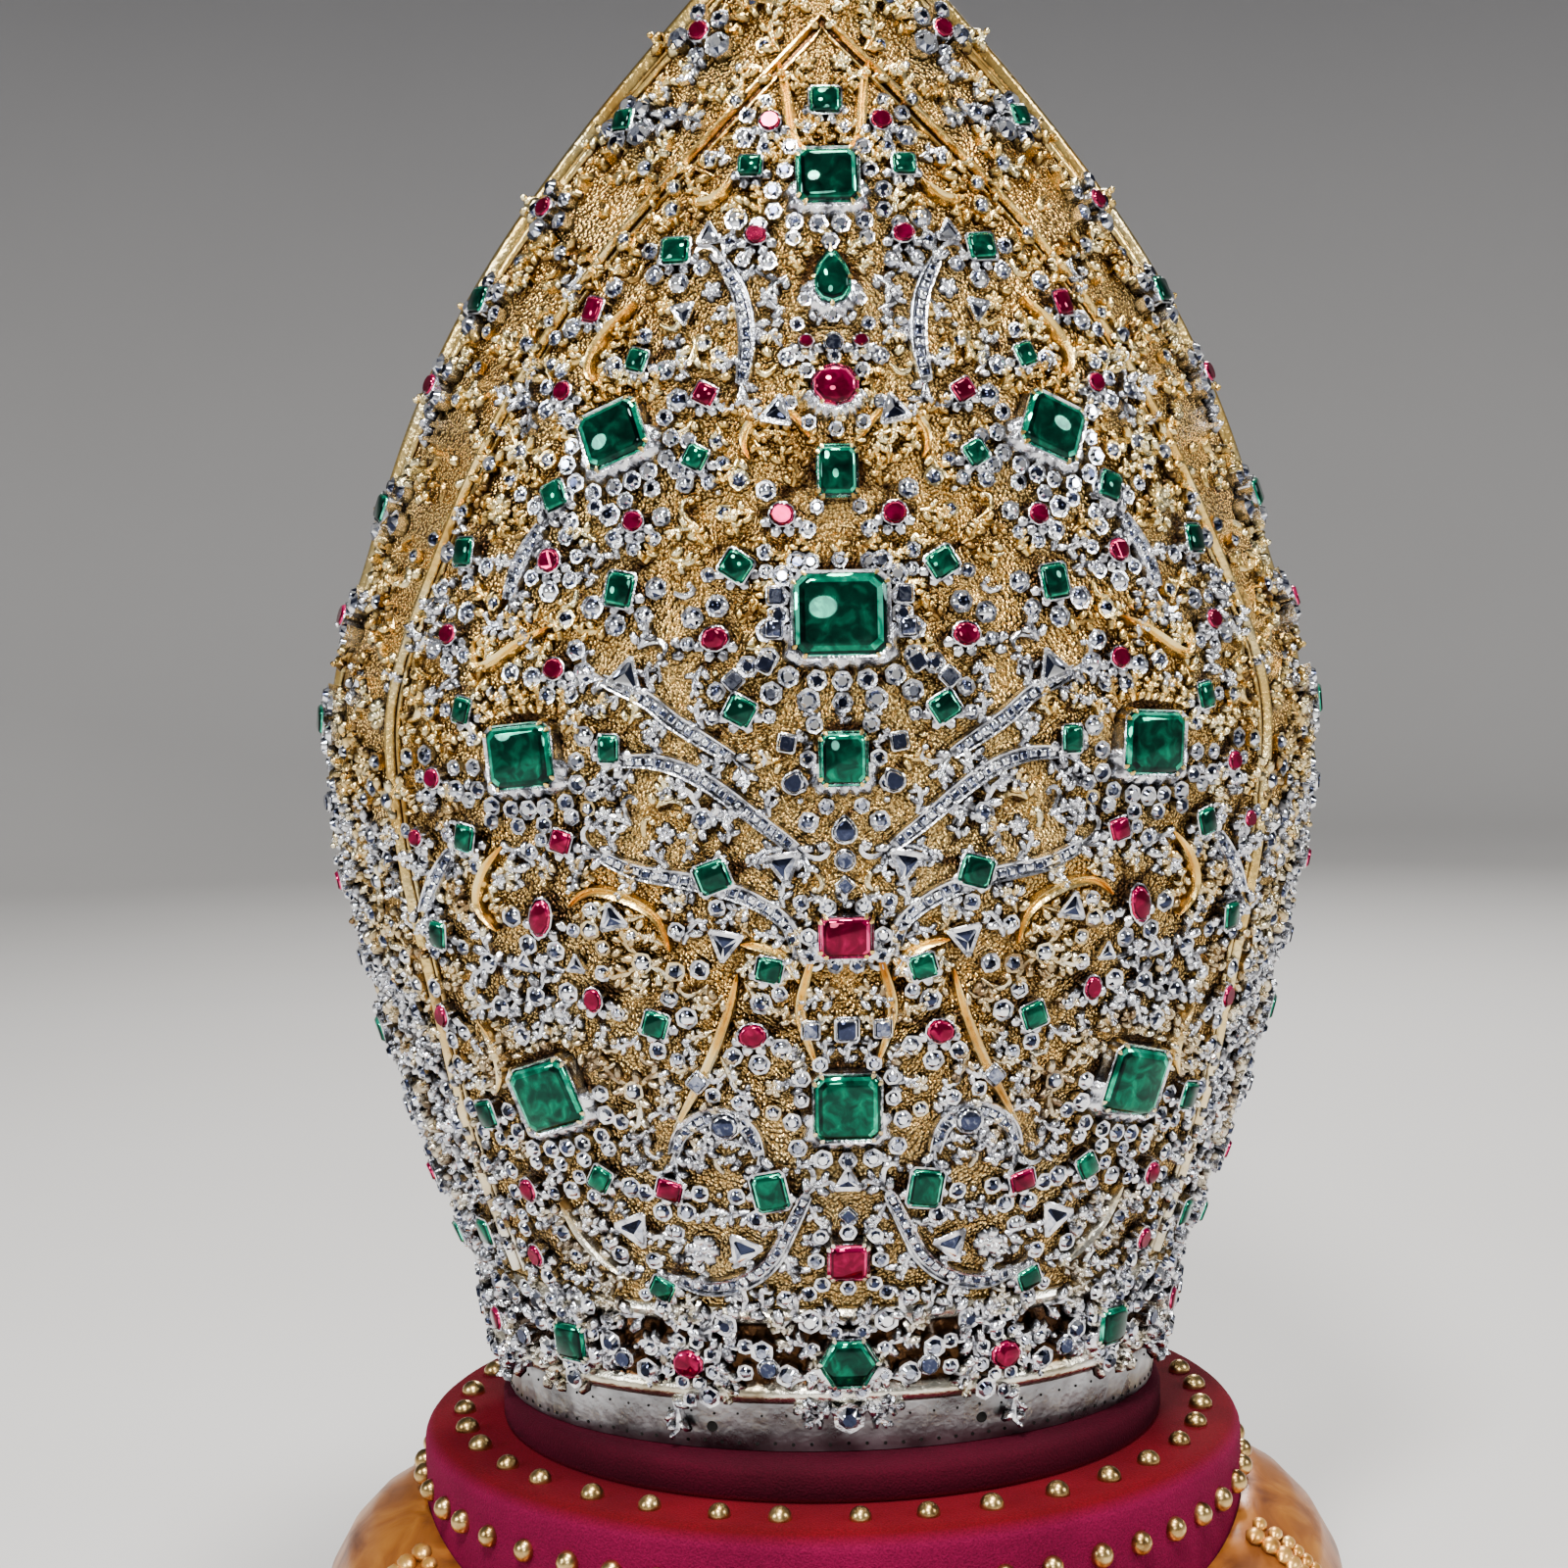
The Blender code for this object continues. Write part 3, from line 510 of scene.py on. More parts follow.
def strip(grid, look, clean=None):
    """A closed bar whose rows are closed profiles, with flat ends."""
    grid = np.asarray(grid)
    rows, count = grid.shape[:2]
    faces = band_faces(rows, count)
    faces.append(tuple(range(count - 1, -1, -1)))
    faces.append(tuple(range((rows - 1) * count, rows * count)))
    return Shape(grid.reshape(-1, 3), faces, look, 0.5, clean)


def flat_ring(outline, spread, height):
    """An outline, scaled by a factor, at a height."""
    outline = np.asarray(outline)
    return np.column_stack([outline * spread, np.full(len(outline), height)])


def circle(count, phase=0.0, radius=0.5):
    """Points of a circle."""
    angles = 2 * math.pi * (np.arange(count) + phase) / count
    return np.column_stack([radius * np.cos(angles), radius * np.sin(angles)])


def cut_outline(cut, width, height):
    """Corners of a stone's outline, anticlockwise from its right side."""
    if cut == "square":
        corner, edge = 0.39, 0.5
        points = [(edge, -corner), (edge, corner), (corner, edge), (-corner, edge),
                  (-edge, corner), (-edge, -corner), (-corner, -edge), (corner, -edge)]
    elif cut == "hexagon":
        points = circle(6) * np.array([1.0, 1 / math.sin(math.pi / 3)])
    elif cut == "pear":
        angles = 2 * math.pi * np.arange(12) / 12
        points = np.column_stack([-0.55 * np.sin(angles) * np.abs(np.sin(angles / 2)) ** 0.6,
                                  0.5 * np.cos(angles)])
    elif cut == "triangle":
        points = [(0.07, 0.50), (-0.07, 0.50), (-0.56, -0.34), (-0.48, -0.46), (0.48, -0.46),
                  (0.56, -0.34)]
    else:
        points = circle(10, 0.5)
    return np.asarray(points) * np.array([width, height])


def painted_light_on_facets(count, rings):
    """Painted light on a stone's facets: lit ones and shaded ones by turns, painted reflections of the
    lamps, and a middling table.
    """
    painted_facet_lights = []
    for ring in range(rings):
        wave = 0.48 + 0.46 * np.cos(2 * math.pi * (np.arange(count) / count) + 1.9 + ring * 2.1)
        painted_facet_lights.append(np.clip(wave + RANDOM.uniform(-0.22, 0.22, count), 0, 1))
    return np.concatenate(painted_facet_lights + [[RANDOM.uniform(0.26, 0.44)], [0.2]])


def step_stone(outline, look, low, high):
    """A step-cut stone with three rows of facets and a flat table."""
    tall = high - low
    rings = [(0.94, low), (0.96, low + tall * 0.35), (0.88, low + tall * 0.75), (0.76, high)]
    shape = stack([flat_ring(outline, spread, z) for spread, z in rings], look)
    shape.painted_facet_lights = painted_light_on_facets(len(outline), len(rings) - 1)
    return shape


def pointed_stone(outline, look, low, high):
    """A stone whose facets meet in a point."""
    outer = flat_ring(outline, 0.92, low)
    count = len(outer)
    verts = np.concatenate([outer, [[0.0, 0.0, high]]])
    faces = [(k, (k + 1) % count, count) for k in range(count)] + [tuple(range(count - 1, -1, -1))]
    # Each facet is painted a random level of light: painted reflections and shade
    painted_facet_lights = RANDOM.permutation(np.linspace(0.0, 0.75, count))
    return Shape(verts, faces, look, np.append(painted_facet_lights, 0.2))


def rose_stone(radius, look, low, high, count=6):
    """A rose-cut stone: a dome of triangular facets round a small table."""
    outer = np.column_stack([circle(count, 0.0, radius), np.full(count, low)])
    inner = np.column_stack([circle(count, 0.5, radius * 0.55), np.full(count, high)])
    verts = np.concatenate([outer, inner])
    faces = []
    for k in range(count):
        n = (k + 1) % count
        faces.append((k, n, count + k))
        faces.append((count + k, n, count + n))
    faces.append(tuple(range(count, 2 * count)))
    faces.append(tuple(range(count - 1, -1, -1)))
    # The facets are painted random levels of light: painted reflections and shade
    return Shape(verts, faces, look, RANDOM.permutation(np.linspace(0, 1, len(faces))))


def bead(radius, z, look, count=7, latitudes=(-40, 0, 35, 65)):
    """A small round grain whose foot is sunk in what carries it."""
    rings = []
    for degrees in latitudes:
        angle = math.radians(degrees)
        rings.append(np.column_stack([circle(count, 0.0, radius * math.cos(angle)),
                                      np.full(count, z + radius * math.sin(angle))]))
    rings.append(np.column_stack([circle(count, 0.0, radius * 0.12), np.full(count, z + radius)]))
    return stack(rings, look)


def grain(radius, z, look):
    """A grain for places where it is only a few pixels wide."""
    rings = [(1.8, z - radius * 0.6), (2.0, z + radius * 0.2), (0.7, z + radius * 0.95)]
    return stack([flat_ring(circle(5), radius * spread, height) for spread, height in rings], look)


def claw(x, y, low, high, thick, look="silver"):
    """A claw that stands outside a collet and bends over the edge of its stone."""
    angle = math.atan2(y, x)
    out = np.array([math.cos(angle), math.sin(angle)])
    across = np.array([-math.sin(angle), math.cos(angle)])
    rings = []
    for distance, z, wide in ((0.9, low, 1.0), (0.9, (low + high) / 2, 0.9), (0.1, high, 0.9),
                              (-1.1, high + thick * 0.5, 0.4)):
        centre = np.array([x, y]) + out * distance * thick
        ring = []
        for a, b in ((1, 0), (0, 1), (-1, 0), (0, -1)):
            ring.append([*(centre + out * a * thick * wide * 0.7 + across * b * thick * wide), z])
        rings.append(np.array(ring))
    return stack(rings, look)


def cup(outline, height, look="silver", base=0.72):
    """A setting that widens upward to a bright lip, with its middle open for the stone."""
    wall = [(base, -0.0008), (base * 1.04, height * 0.30), (1.04, height * 0.80), (1.13, height),
            (1.04, height * 1.04), (0.93, height * 0.84)]
    return stack([flat_ring(outline, spread, z) for spread, z in wall], look)


def lobed(outline, reach):
    """An outline with points between its own, whose new points stand out further."""
    following = np.roll(outline, -1, axis=0)
    return np.stack([outline, (outline + following) / 2 * reach], axis=1).reshape(-1, 2)


def round_diamond(radius, look="silver", height=0.0024, rich=False):
    """A rose-cut diamond in a lobed cup."""
    lobes = 6 if rich else 4
    outline = lobed(circle(lobes, 0.0, radius), 1.10 / math.cos(math.pi / lobes))
    wall = [(0.84, -0.0008), (1.06, height), (0.88, height * 0.98)]
    rings = [flat_ring(outline, spread, z) for spread, z in wall]
    return merged([stack(rings, look, clean=CUP_CLEAN_AND_LIT[lobes]),
                   rose_stone(radius * 0.92, "diamond", height * 0.9, height + radius * 0.42, lobes + 1)])


# Cups are painted dark at their foot and bright above: painted shade together with tarnish
CUP_CLEAN_AND_LIT = {lobes: [0.0] * lobes * 2 + [1.0] * lobes * 4 for lobes in (4, 6)}


def set_stone(cut, gem, width, height, lift=0.0042):
    """A small stone in a cup, with claws at its corners."""
    outline = cut_outline(cut, width, height)
    parts = [cup(outline, lift)]
    if cut == "triangle":
        parts.append(pointed_stone(outline, gem, lift * 0.92, lift + width * 0.16))
        parts.append(stack([flat_ring(outline, spread, z) for spread, z in
                            ((0.96, lift * 0.5), (1.16, lift * 0.94), (1.10, lift * 1.04),
                             (0.92, lift))], "silver"))
    else:
        parts.append(step_stone(outline, gem, lift * 0.85, lift + 0.0011))
    for x, y in outline[::2]:
        parts.append(claw(x, y, lift * 0.3, lift, 0.00045))
    return merged(parts)


def petal(length, width, height, look="foliage"):
    """A round-backed lobe that points up the page, with its foot sunk."""
    outline = np.array([(0.0, -0.5), (0.50, -0.02), (0.24, 0.45), (-0.24, 0.45),
                        (-0.50, -0.02)]) * np.array([width, length])
    rings = [flat_ring(outline, 1.0, -0.0005), flat_ring(outline, 0.82, height * 0.66),
             flat_ring(outline, 0.30, height)]
    # The petal's foot is painted dark: painted shade together with tarnish
    return stack(rings, look, clean=[0.05] * 5 + [0.62] * 5 + [1.0] * 5).moved(y=length / 2)


def course(length, bend, steps):
    """Places and headings along a curve that bends more and more."""
    places, headings = [np.zeros(2)], [0.0]
    for k in range(steps):
        heading = headings[-1]
        step = length / steps * (1.25 - 0.5 * k / steps)
        places.append(places[-1] + step * np.array([-math.sin(heading), math.cos(heading)]))
        headings.append(heading + bend / steps * (0.2 + 1.6 * k / steps))
    return places, headings


STALK_PROFILE = ((-1.0, -0.5), (-0.6, 0.8), (0.6, 0.8), (1.0, -0.5))
# Stalks are painted dark along their lower edges, where they meet the ground: painted shade together with
# tarnish
STALK_CLEAN_AND_LIT = (0.1, 0.9, 0.9, 0.1)


def stalk(places, headings, width, height, look="foliage"):
    """A tapering stalk along a curve, higher towards its curled end."""
    rows = []
    for k, (place, heading) in enumerate(zip(places, headings)):
        share = k / (len(places) - 1)
        half = width / 2 * (0.35 + 0.65 * math.sin(math.pi * (0.15 + 0.75 * share)))
        top = height * (0.5 + 0.6 * share)
        across = np.array([math.cos(heading), math.sin(heading)])
        rows.append([[*(place + across * reach * half), up * top] for reach, up in STALK_PROFILE])
    return strip(rows, look, STALK_CLEAN_AND_LIT * len(rows))


def curl(length, bend, look="foliage", height=0.0024):
    """A scroll that winds into a round grain."""
    places, headings = course(length, bend, 8)
    return merged([stalk(places, headings, 0.0024, height, look),
                   grain(0.00115, height, look).moved(*places[-1])])


def acanthus(length, bend, lobes=4, look="foliage", height=0.0026):
    """A curled leaf: a stalk with lobes that stand up on both sides and a grain at the tip."""
    places, headings = course(length, bend, 4)
    parts = [stalk(places, headings, 0.0026, height * 1.1, look)]
    for k in range(lobes):
        station = round(0.3 + k * 2.9 / (lobes - 1))
        hand = 1 if k % 2 else -1
        size = length * (0.60 - 0.06 * k)
        parts.append(petal(size, size * 0.56, height * 0.66, look).moved(
            *places[station], z=height * 0.2, turn=headings[station] + hand * 0.95, tilt=0.40))
    parts.append(grain(0.0010, height * 1.05, look).moved(*places[-1]))
    return merged(parts)


def rosette(radius, petals, look="foliage"):
    """Petals that stand up round a grain."""
    parts = [petal(radius, radius * 0.85, 0.0013, look).moved(turn=2 * math.pi * k / petals, tilt=0.5)
             for k in range(petals)]
    return merged(parts + [grain(radius * 0.34, 0.0014, look)])


class Piece:
    """Shapes gathered for one object."""

    def __init__(self, name):
        self.name = name
        self.shapes = []

    def add(self, shape):
        """Adds a shape that is already in place."""
        self.shapes.append(shape)

    def put(self, shape, base, side, rise, turn=0.0, lift=0.0, scale=1.0, tilt=0.0):
        """Stands a shape on a surface."""
        point, across, up, out = axes_on(base, side, rise)
        ready = shape.moved(turn=turn, scale=scale, tilt=tilt)
        verts = point + out * lift + ready.verts @ np.array([across, up, out])
        self.shapes.append(shape.copy_with(verts))

    def put_pair(self, shape, base, side, rise, turn=0.0, lift=0.0, scale=1.0, tilt=0.0):
        """Stands a shape on the right half and its mirror image on the left."""
        self.put(shape, base, side, rise, turn, lift, scale, tilt)
        if side > 0:
            wobble = RANDOM.uniform(-0.08, 0.08)
            self.put(shape.mirrored(), base, -side, rise, -turn + wobble, lift, scale, tilt)

    def add_pair(self, shape):
        """Adds a shape and its mirror image."""
        self.shapes += [shape, shape.mirrored()]

    def mesh(self, sharp=48.0):
        """The joined mesh, with its looks as materials, and its painted facet lights and its clean-and-lit
        values (painted shade together with tarnish) as attributes.
        """
        whole = merged(self.shapes)
        mesh = bpy.data.meshes.new(self.name)
        mesh.vertices.add(len(whole.verts))
        mesh.vertices.foreach_set("co", whole.verts.astype(np.float32).ravel())
        mesh.loops.add(len(whole.loops))
        mesh.loops.foreach_set("vertex_index", whole.loops.astype(np.int32))
        mesh.polygons.add(len(whole.sizes))
        starts = np.concatenate(([0], np.cumsum(whole.sizes)[:-1]))
        mesh.polygons.foreach_set("loop_start", starts.astype(np.int32))
        names = sorted(set(whole.looks))
        for name in names:
            mesh.materials.append(LOOKS[name])
        indices = np.array([names.index(look) for look in whole.looks], np.int32)
        mesh.polygons.foreach_set("material_index", indices)
        mesh.update(calc_edges=True)
        mesh.polygons.foreach_set("use_smooth", ~np.isin(whole.looks, GEM_LOOKS))
        mesh.set_sharp_from_angle(angle=math.radians(sharp))
        painted_facet_light = mesh.attributes.new("painted_facet_light", "FLOAT", "FACE")
        painted_facet_light.data.foreach_set("value", whole.painted_facet_lights.astype(np.float32))
        clean = mesh.attributes.new("clean", "FLOAT", "POINT")
        clean.data.foreach_set("value", whole.clean.astype(np.float32))
        mesh.validate()
        return mesh


def show(name, mesh, nodes=()):
    """An object of the model that rides on the root body and stands for the nodes named."""
    item = bpy.data.objects.new(name, mesh)
    bpy.context.scene.collection.objects.link(item)
    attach(item, "root")
    if nodes:
        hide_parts(*nodes)
    return item


def show_both(piece, nodes=(), sharp=48.0):
    """The front's piece, and its copy turned half round for the back."""
    mesh = piece.mesh(sharp)
    show(f"front_{piece.name}", mesh, [f"front_{node}" for node in nodes])
    turned = mesh.copy()
    turned.transform(Matrix.Rotation(math.pi, 4, "Z"))
    show(f"back_{piece.name}", turned, [f"back_{node}" for node in nodes])


# Materials

def new_material(name, roughness, metallic, **constants):
    """A material with its shader's plain values set; returns the tree and the shader."""
    material = bpy.data.materials.new(name)
    material.use_nodes = True
    tree = material.node_tree
    shader = tree.nodes["Principled BSDF"]
    shader.inputs["Roughness"].default_value = roughness
    shader.inputs["Metallic"].default_value = metallic
    for key, value in constants.items():
        shader.inputs[key.replace("_", " ")].default_value = value
    LOOKS[name] = material
    return tree, shader


def place_texture(tree, kind, scale, detail=None):
    """A texture in the object's own metres."""
    place = tree.nodes.new("ShaderNodeTexCoord")
    texture = tree.nodes.new(kind)
    texture.inputs["Scale"].default_value = scale
    if detail is not None:
        texture.inputs["Detail"].default_value = detail
    tree.links.new(place.outputs["Object"], texture.inputs["Vector"])
    return texture


def ramp(tree, factor, stops):
    """A colour ramp over a factor."""
    node = tree.nodes.new("ShaderNodeValToRGB")
    while len(node.color_ramp.elements) < len(stops):
        node.color_ramp.elements.new(0.5)
    for element, (position, colour) in zip(node.color_ramp.elements, stops):
        element.position = position
        element.color = (*colour, 1.0)
    tree.links.new(factor, node.inputs["Fac"])
    return node.outputs["Color"]


def set_or_link(tree, target, value):
    """Gives a socket a colour, a number or the result of another node."""
    if isinstance(value, bpy.types.NodeSocket):
        tree.links.new(value, target)
    elif isinstance(value, tuple):
        target.default_value = (*value, 1.0)
    else:
        target.default_value = value


def mix(tree, factor, first, second, blend="MIX"):
    """A mix of two colours, either of which may be a socket."""
    node = tree.nodes.new("ShaderNodeMix")
    node.data_type = "RGBA"
    node.blend_type = blend
    colours = [socket for socket in node.inputs if socket.type == "RGBA"]
    for target, value in zip([node.inputs["Factor"]] + colours, (factor, first, second)):
        set_or_link(tree, target, value)
    return [socket for socket in node.outputs if socket.type == "RGBA"][0]


def number(tree, factor, low, high):
    """A value that runs from low to high with a factor."""
    node = tree.nodes.new("ShaderNodeMapRange")
    node.inputs["To Min"].default_value = low
    node.inputs["To Max"].default_value = high
    tree.links.new(factor, node.inputs["Value"])
    return node.outputs["Result"]


def bump(tree, shader, height, distance):
    """A bump of a real depth."""
    node = tree.nodes.new("ShaderNodeBump")
    node.inputs["Distance"].default_value = distance
    node.inputs["Strength"].default_value = 1.0
    tree.links.new(height, node.inputs["Height"])
    tree.links.new(node.outputs["Normal"], shader.inputs["Normal"])


def height_factor(tree, low, high):
    """A factor that runs from 0 at one height of the object to 1 at another."""
    place = tree.nodes.new("ShaderNodeTexCoord")
    split = tree.nodes.new("ShaderNodeSeparateXYZ")
    tree.links.new(place.outputs["Object"], split.inputs["Vector"])
    node = tree.nodes.new("ShaderNodeMapRange")
    node.inputs["From Min"].default_value = low
    node.inputs["From Max"].default_value = high
    tree.links.new(split.outputs["Z"], node.inputs["Value"])
    return node.outputs["Result"]


def uneven(tree, attribute_name, texture, spread):
    """An attribute of the mesh, made uneven by a texture."""
    attribute = tree.nodes.new("ShaderNodeAttribute")
    attribute.attribute_name = attribute_name
    change = tree.nodes.new("ShaderNodeMath")
    change.operation = "MULTIPLY_ADD"
    tree.links.new(texture.outputs["Fac"], change.inputs[0])
    change.inputs[1].default_value = spread
    change.inputs[2].default_value = -spread / 2
    total = tree.nodes.new("ShaderNodeMath")
    total.operation = "ADD"
    tree.links.new(attribute.outputs["Fac"], total.inputs[0])
    tree.links.new(change.outputs["Value"], total.inputs[1])
    return total.outputs["Value"]


# How far the clean-and-lit value is made uneven, and the values at which painted shade and tarnish are full
# and gone
TARNISH_AND_SHADE_SPREAD = 0.7
TARNISHED_AND_SHADED, CLEAN_AND_LIT = 0.12, 0.72


def wear_and_painted_shade(tree, dark, colour):
    """A colour that gives way to dark where the clean-and-lit value is low: painted shade in the hollows and
    low parts, together with tarnish.
    """
    blotches = place_texture(tree, "ShaderNodeTexNoise", 240.0, 3.0)
    reach = tree.nodes.new("ShaderNodeMapRange")
    reach.inputs["From Min"].default_value = TARNISHED_AND_SHADED
    reach.inputs["From Max"].default_value = CLEAN_AND_LIT
    tree.links.new(uneven(tree, "clean", blotches, TARNISH_AND_SHADE_SPREAD), reach.inputs["Value"])
    return mix(tree, reach.outputs["Result"], dark, colour)


def finish_surface(tree, shader, colour, patches, roughness, dents=None):
    """Links a colour, a roughness that follows the patches and, if given, a fine bump."""
    tree.links.new(colour, shader.inputs["Base Color"])
    tree.links.new(number(tree, patches.outputs["Fac"], *roughness), shader.inputs["Roughness"])
    if dents:
        scale, detail, depth = dents
        texture = place_texture(tree, "ShaderNodeTexNoise", scale, detail)
        bump(tree, shader, texture.outputs["Fac"], depth)


def make_ground():
    """Gold ground, matted with a round punch, paler and more silvery below, with the low parts of the
    punched grain painted darker as shade.
    """
    tree, shader = new_material("ground", 0.30, 1.0)
    grains = place_texture(tree, "ShaderNodeTexVoronoi", 950.0)
    patches = place_texture(tree, "ShaderNodeTexNoise", 24.0, 5.0)
    high = height_factor(tree, PANEL_BOTTOM + 0.02, PANEL_BOTTOM + PANEL_HEIGHT * 0.42)
    warm = mix(tree, patches.outputs["Fac"], (0.80, 0.47, 0.10), (1.00, 0.76, 0.30))
    pale = mix(tree, patches.outputs["Fac"], (0.68, 0.40, 0.09), (1.00, 0.76, 0.34))
    colour = mix(tree, high, pale, warm)
    # The low parts of the punched grain are painted darker: painted shade, besides the bump
    painted_pit_shade = ramp(tree, grains.outputs["Distance"], [(0.14, (1.0, 1.0, 1.0)), (0.80, (0.28, 0.18, 0.07))])
    punched = mix(tree, 0.85, colour, painted_pit_shade, "MULTIPLY")
    # The ground is painted darker near ornament: painted contact shadow together with patina
    finish_surface(tree, shader, wear_and_painted_shade(tree, (0.045, 0.022, 0.008), punched), patches, (0.14, 0.34))
    bump(tree, shader, number(tree, grains.outputs["Distance"], 1.0, 0.0), 0.0009)


def make_gilt():
    """Bright gold of the mouldings, with hollows painted darker as shade together with tarnish, and soft
    wear.
    """
    tree, shader = new_material("gilt", 0.22, 1.0)
    patches = place_texture(tree, "ShaderNodeTexNoise", 60.0, 6.0)
    gold = ramp(tree, patches.outputs["Fac"], [(0.30, (0.62, 0.34, 0.07)), (0.50, (0.96, 0.66, 0.20)),
                                               (0.72, (1.00, 0.82, 0.42))])
    pale = ramp(tree, patches.outputs["Fac"], [(0.30, (0.30, 0.24, 0.14)), (0.50, (0.82, 0.76, 0.58)),
                                               (0.70, (0.98, 0.95, 0.84))])
    colour = mix(tree, height_factor(tree, PANEL_BOTTOM - 0.004, PANEL_BOTTOM + 0.10), pale, gold)
    worn_and_shaded = wear_and_painted_shade(tree, (0.050, 0.022, 0.008), colour)
    finish_surface(tree, shader, worn_and_shaded, patches, (0.36, 0.14), (500.0, 3.0, 0.0003))


def make_silver():
    """Silver of the settings: bright on the edges, dark low down and in the hollows, which is painted shade
    together with tarnish.
    """
    tree, shader = new_material("silver", 0.18, 1.0)
    patches = place_texture(tree, "ShaderNodeTexNoise", 260.0, 5.0)
    colour = ramp(tree, patches.outputs["Fac"], [(0.36, (0.13, 0.13, 0.14)), (0.48, (0.70, 0.71, 0.76)),
                                                 (0.60, (1.00, 1.00, 1.00))])
    worn_and_shaded = wear_and_painted_shade(tree, (0.016, 0.013, 0.012), colour)
    finish_surface(tree, shader, worn_and_shaded, patches, (0.34, 0.08), (900.0, 2.0, 0.00025))


def make_foliage():
    """Cast leaves in brown gold, silvery low on the mitre, and dark in the hollows: painted shade together
    with tarnish.
    """
    tree, shader = new_material("foliage", 0.25, 1.0)
    patches = place_texture(tree, "ShaderNodeTexNoise", 90.0, 5.0)
    gold = ramp(tree, patches.outputs["Fac"], [(0.34, (0.26, 0.14, 0.035)), (0.48, (0.82, 0.56, 0.17)),
                                               (0.62, (1.00, 0.86, 0.48))])
    pale = ramp(tree, patches.outputs["Fac"], [(0.34, (0.20, 0.16, 0.12)), (0.50, (0.66, 0.60, 0.48)),
                                               (0.66, (0.98, 0.95, 0.88))])
    high = height_factor(tree, PANEL_BOTTOM, PANEL_BOTTOM + PANEL_HEIGHT * 0.45)
    colour = mix(tree, high, pale, gold)
    worn_and_shaded = wear_and_painted_shade(tree, (0.026, 0.013, 0.006), colour)
    finish_surface(tree, shader, worn_and_shaded, patches, (0.36, 0.10), (800.0, 2.0, 0.0003))


def make_gem(name, stops, metallic, scale, spread):
    """A cut stone: each facet is painted with its own share of reflected light and shade, and fine
    inclusions inside also vary that painted light as an inner glow.
    """
    tree, shader = new_material(name, 0.05, metallic)
    flaws_and_inner_glow = place_texture(tree, "ShaderNodeTexNoise", scale, 8.0)
    flaws_and_inner_glow.inputs["Distortion"].default_value = 0.8
    painted_facet_light = uneven(tree, "painted_facet_light", flaws_and_inner_glow, spread)
    tree.links.new(ramp(tree, painted_facet_light, stops), shader.inputs["Base Color"])


def make_head_band_silver():
    """Grey rolled silver of the plain band, scratched and stained."""
    tree, shader = new_material("band_silver", 0.30, 1.0)
    patches = place_texture(tree, "ShaderNodeTexNoise", 60.0, 7.0)
    colour = ramp(tree, patches.outputs["Fac"], [(0.34, (0.14, 0.14, 0.145)), (0.52, (0.30, 0.305, 0.315)),
                                                 (0.70, (0.55, 0.56, 0.58))])
    finish_surface(tree, shader, colour, patches, (0.14, 0.46), (380.0, 3.0, 0.0002))


def make_velvet():
    """Crimson velvet with a short pile. The top of the drum is painted darker as shade, its wall lighter as
    lit, and the riser under the rim near-black as painted shadow.
    """
    tree, shader = new_material("velvet", 0.9, 0.0, Sheen_Weight=0.10, Sheen_Roughness=0.35,
                                Specular_IOR_Level=0.1)
    shader.inputs["Sheen Tint"].default_value = (0.60, 0.01, 0.12, 1.0)
    patches = place_texture(tree, "ShaderNodeTexNoise", 28.0, 4.0)
    pile = place_texture(tree, "ShaderNodeTexNoise", 1600.0, 2.0)
    # Painted shade on the top of the drum, painted light on its wall, and painted shadow on the riser under
    # the rim
    top = mix(tree, patches.outputs["Fac"], (0.040, 0.0, 0.001), (0.16, 0.0, 0.005))
    wall = mix(tree, patches.outputs["Fac"], (0.080, 0.0, 0.014), (0.22, 0.0, 0.044))
    riser_in_painted_shadow = mix(tree, patches.outputs["Fac"], (0.016, 0.0, 0.002), (0.070, 0.0, 0.010))
    low = mix(tree, height_factor(tree, DRUM_TOP - 0.004, DRUM_TOP - 0.001), wall, top)
    nap_with_painted_light = mix(tree, height_factor(tree, DRUM_TOP, DRUM_TOP + 0.002), low, riser_in_painted_shadow)
    shadow = ramp(tree, pile.outputs["Fac"], [(0.3, (0.35, 0.35, 0.35)), (0.7, (1.0, 1.0, 1.0))])
    tree.links.new(mix(tree, 0.6, nap_with_painted_light, shadow, "MULTIPLY"), shader.inputs["Base Color"])
    bump(tree, shader, pile.outputs["Fac"], 0.0005)


def make_silk():
    """Dark red silk with a fine weave."""
    tree, shader = new_material("silk", 0.42, 0.0, Sheen_Weight=0.08, Sheen_Roughness=0.3)
    weave = place_texture(tree, "ShaderNodeTexVoronoi", 1400.0)
    patches = place_texture(tree, "ShaderNodeTexNoise", 30.0, 3.0)
    colour = mix(tree, patches.outputs["Fac"], (0.085, 0.001, 0.006), (0.20, 0.004, 0.014))
    tree.links.new(colour, shader.inputs["Base Color"])
    bump(tree, shader, weave.outputs["Distance"], 0.0003)


def make_gilt_wood():
    """Water-gilt wood, rubbed through to an orange-brown ground."""
    tree, shader = new_material("gilt_wood", 0.30, 0.50, Coat_Weight=0.3, Coat_Roughness=0.22)
    patches = place_texture(tree, "ShaderNodeTexNoise", 46.0, 6.0)
    patches.inputs["Distortion"].default_value = 1.2
    colour = ramp(tree, patches.outputs["Fac"], [(0.28, (0.12, 0.030, 0.004)), (0.50, (0.32, 0.100, 0.012)),
                                                 (0.74, (0.56, 0.22, 0.030))])
    # The foot is painted darker at its lowest edge, over the floor: painted shade together with tarnish
    finish_surface(tree, shader, wear_and_painted_shade(tree, (0.09, 0.022, 0.004), colour), patches, (0.60, 0.26))
    bump(tree, shader, patches.outputs["Fac"], 0.0006)


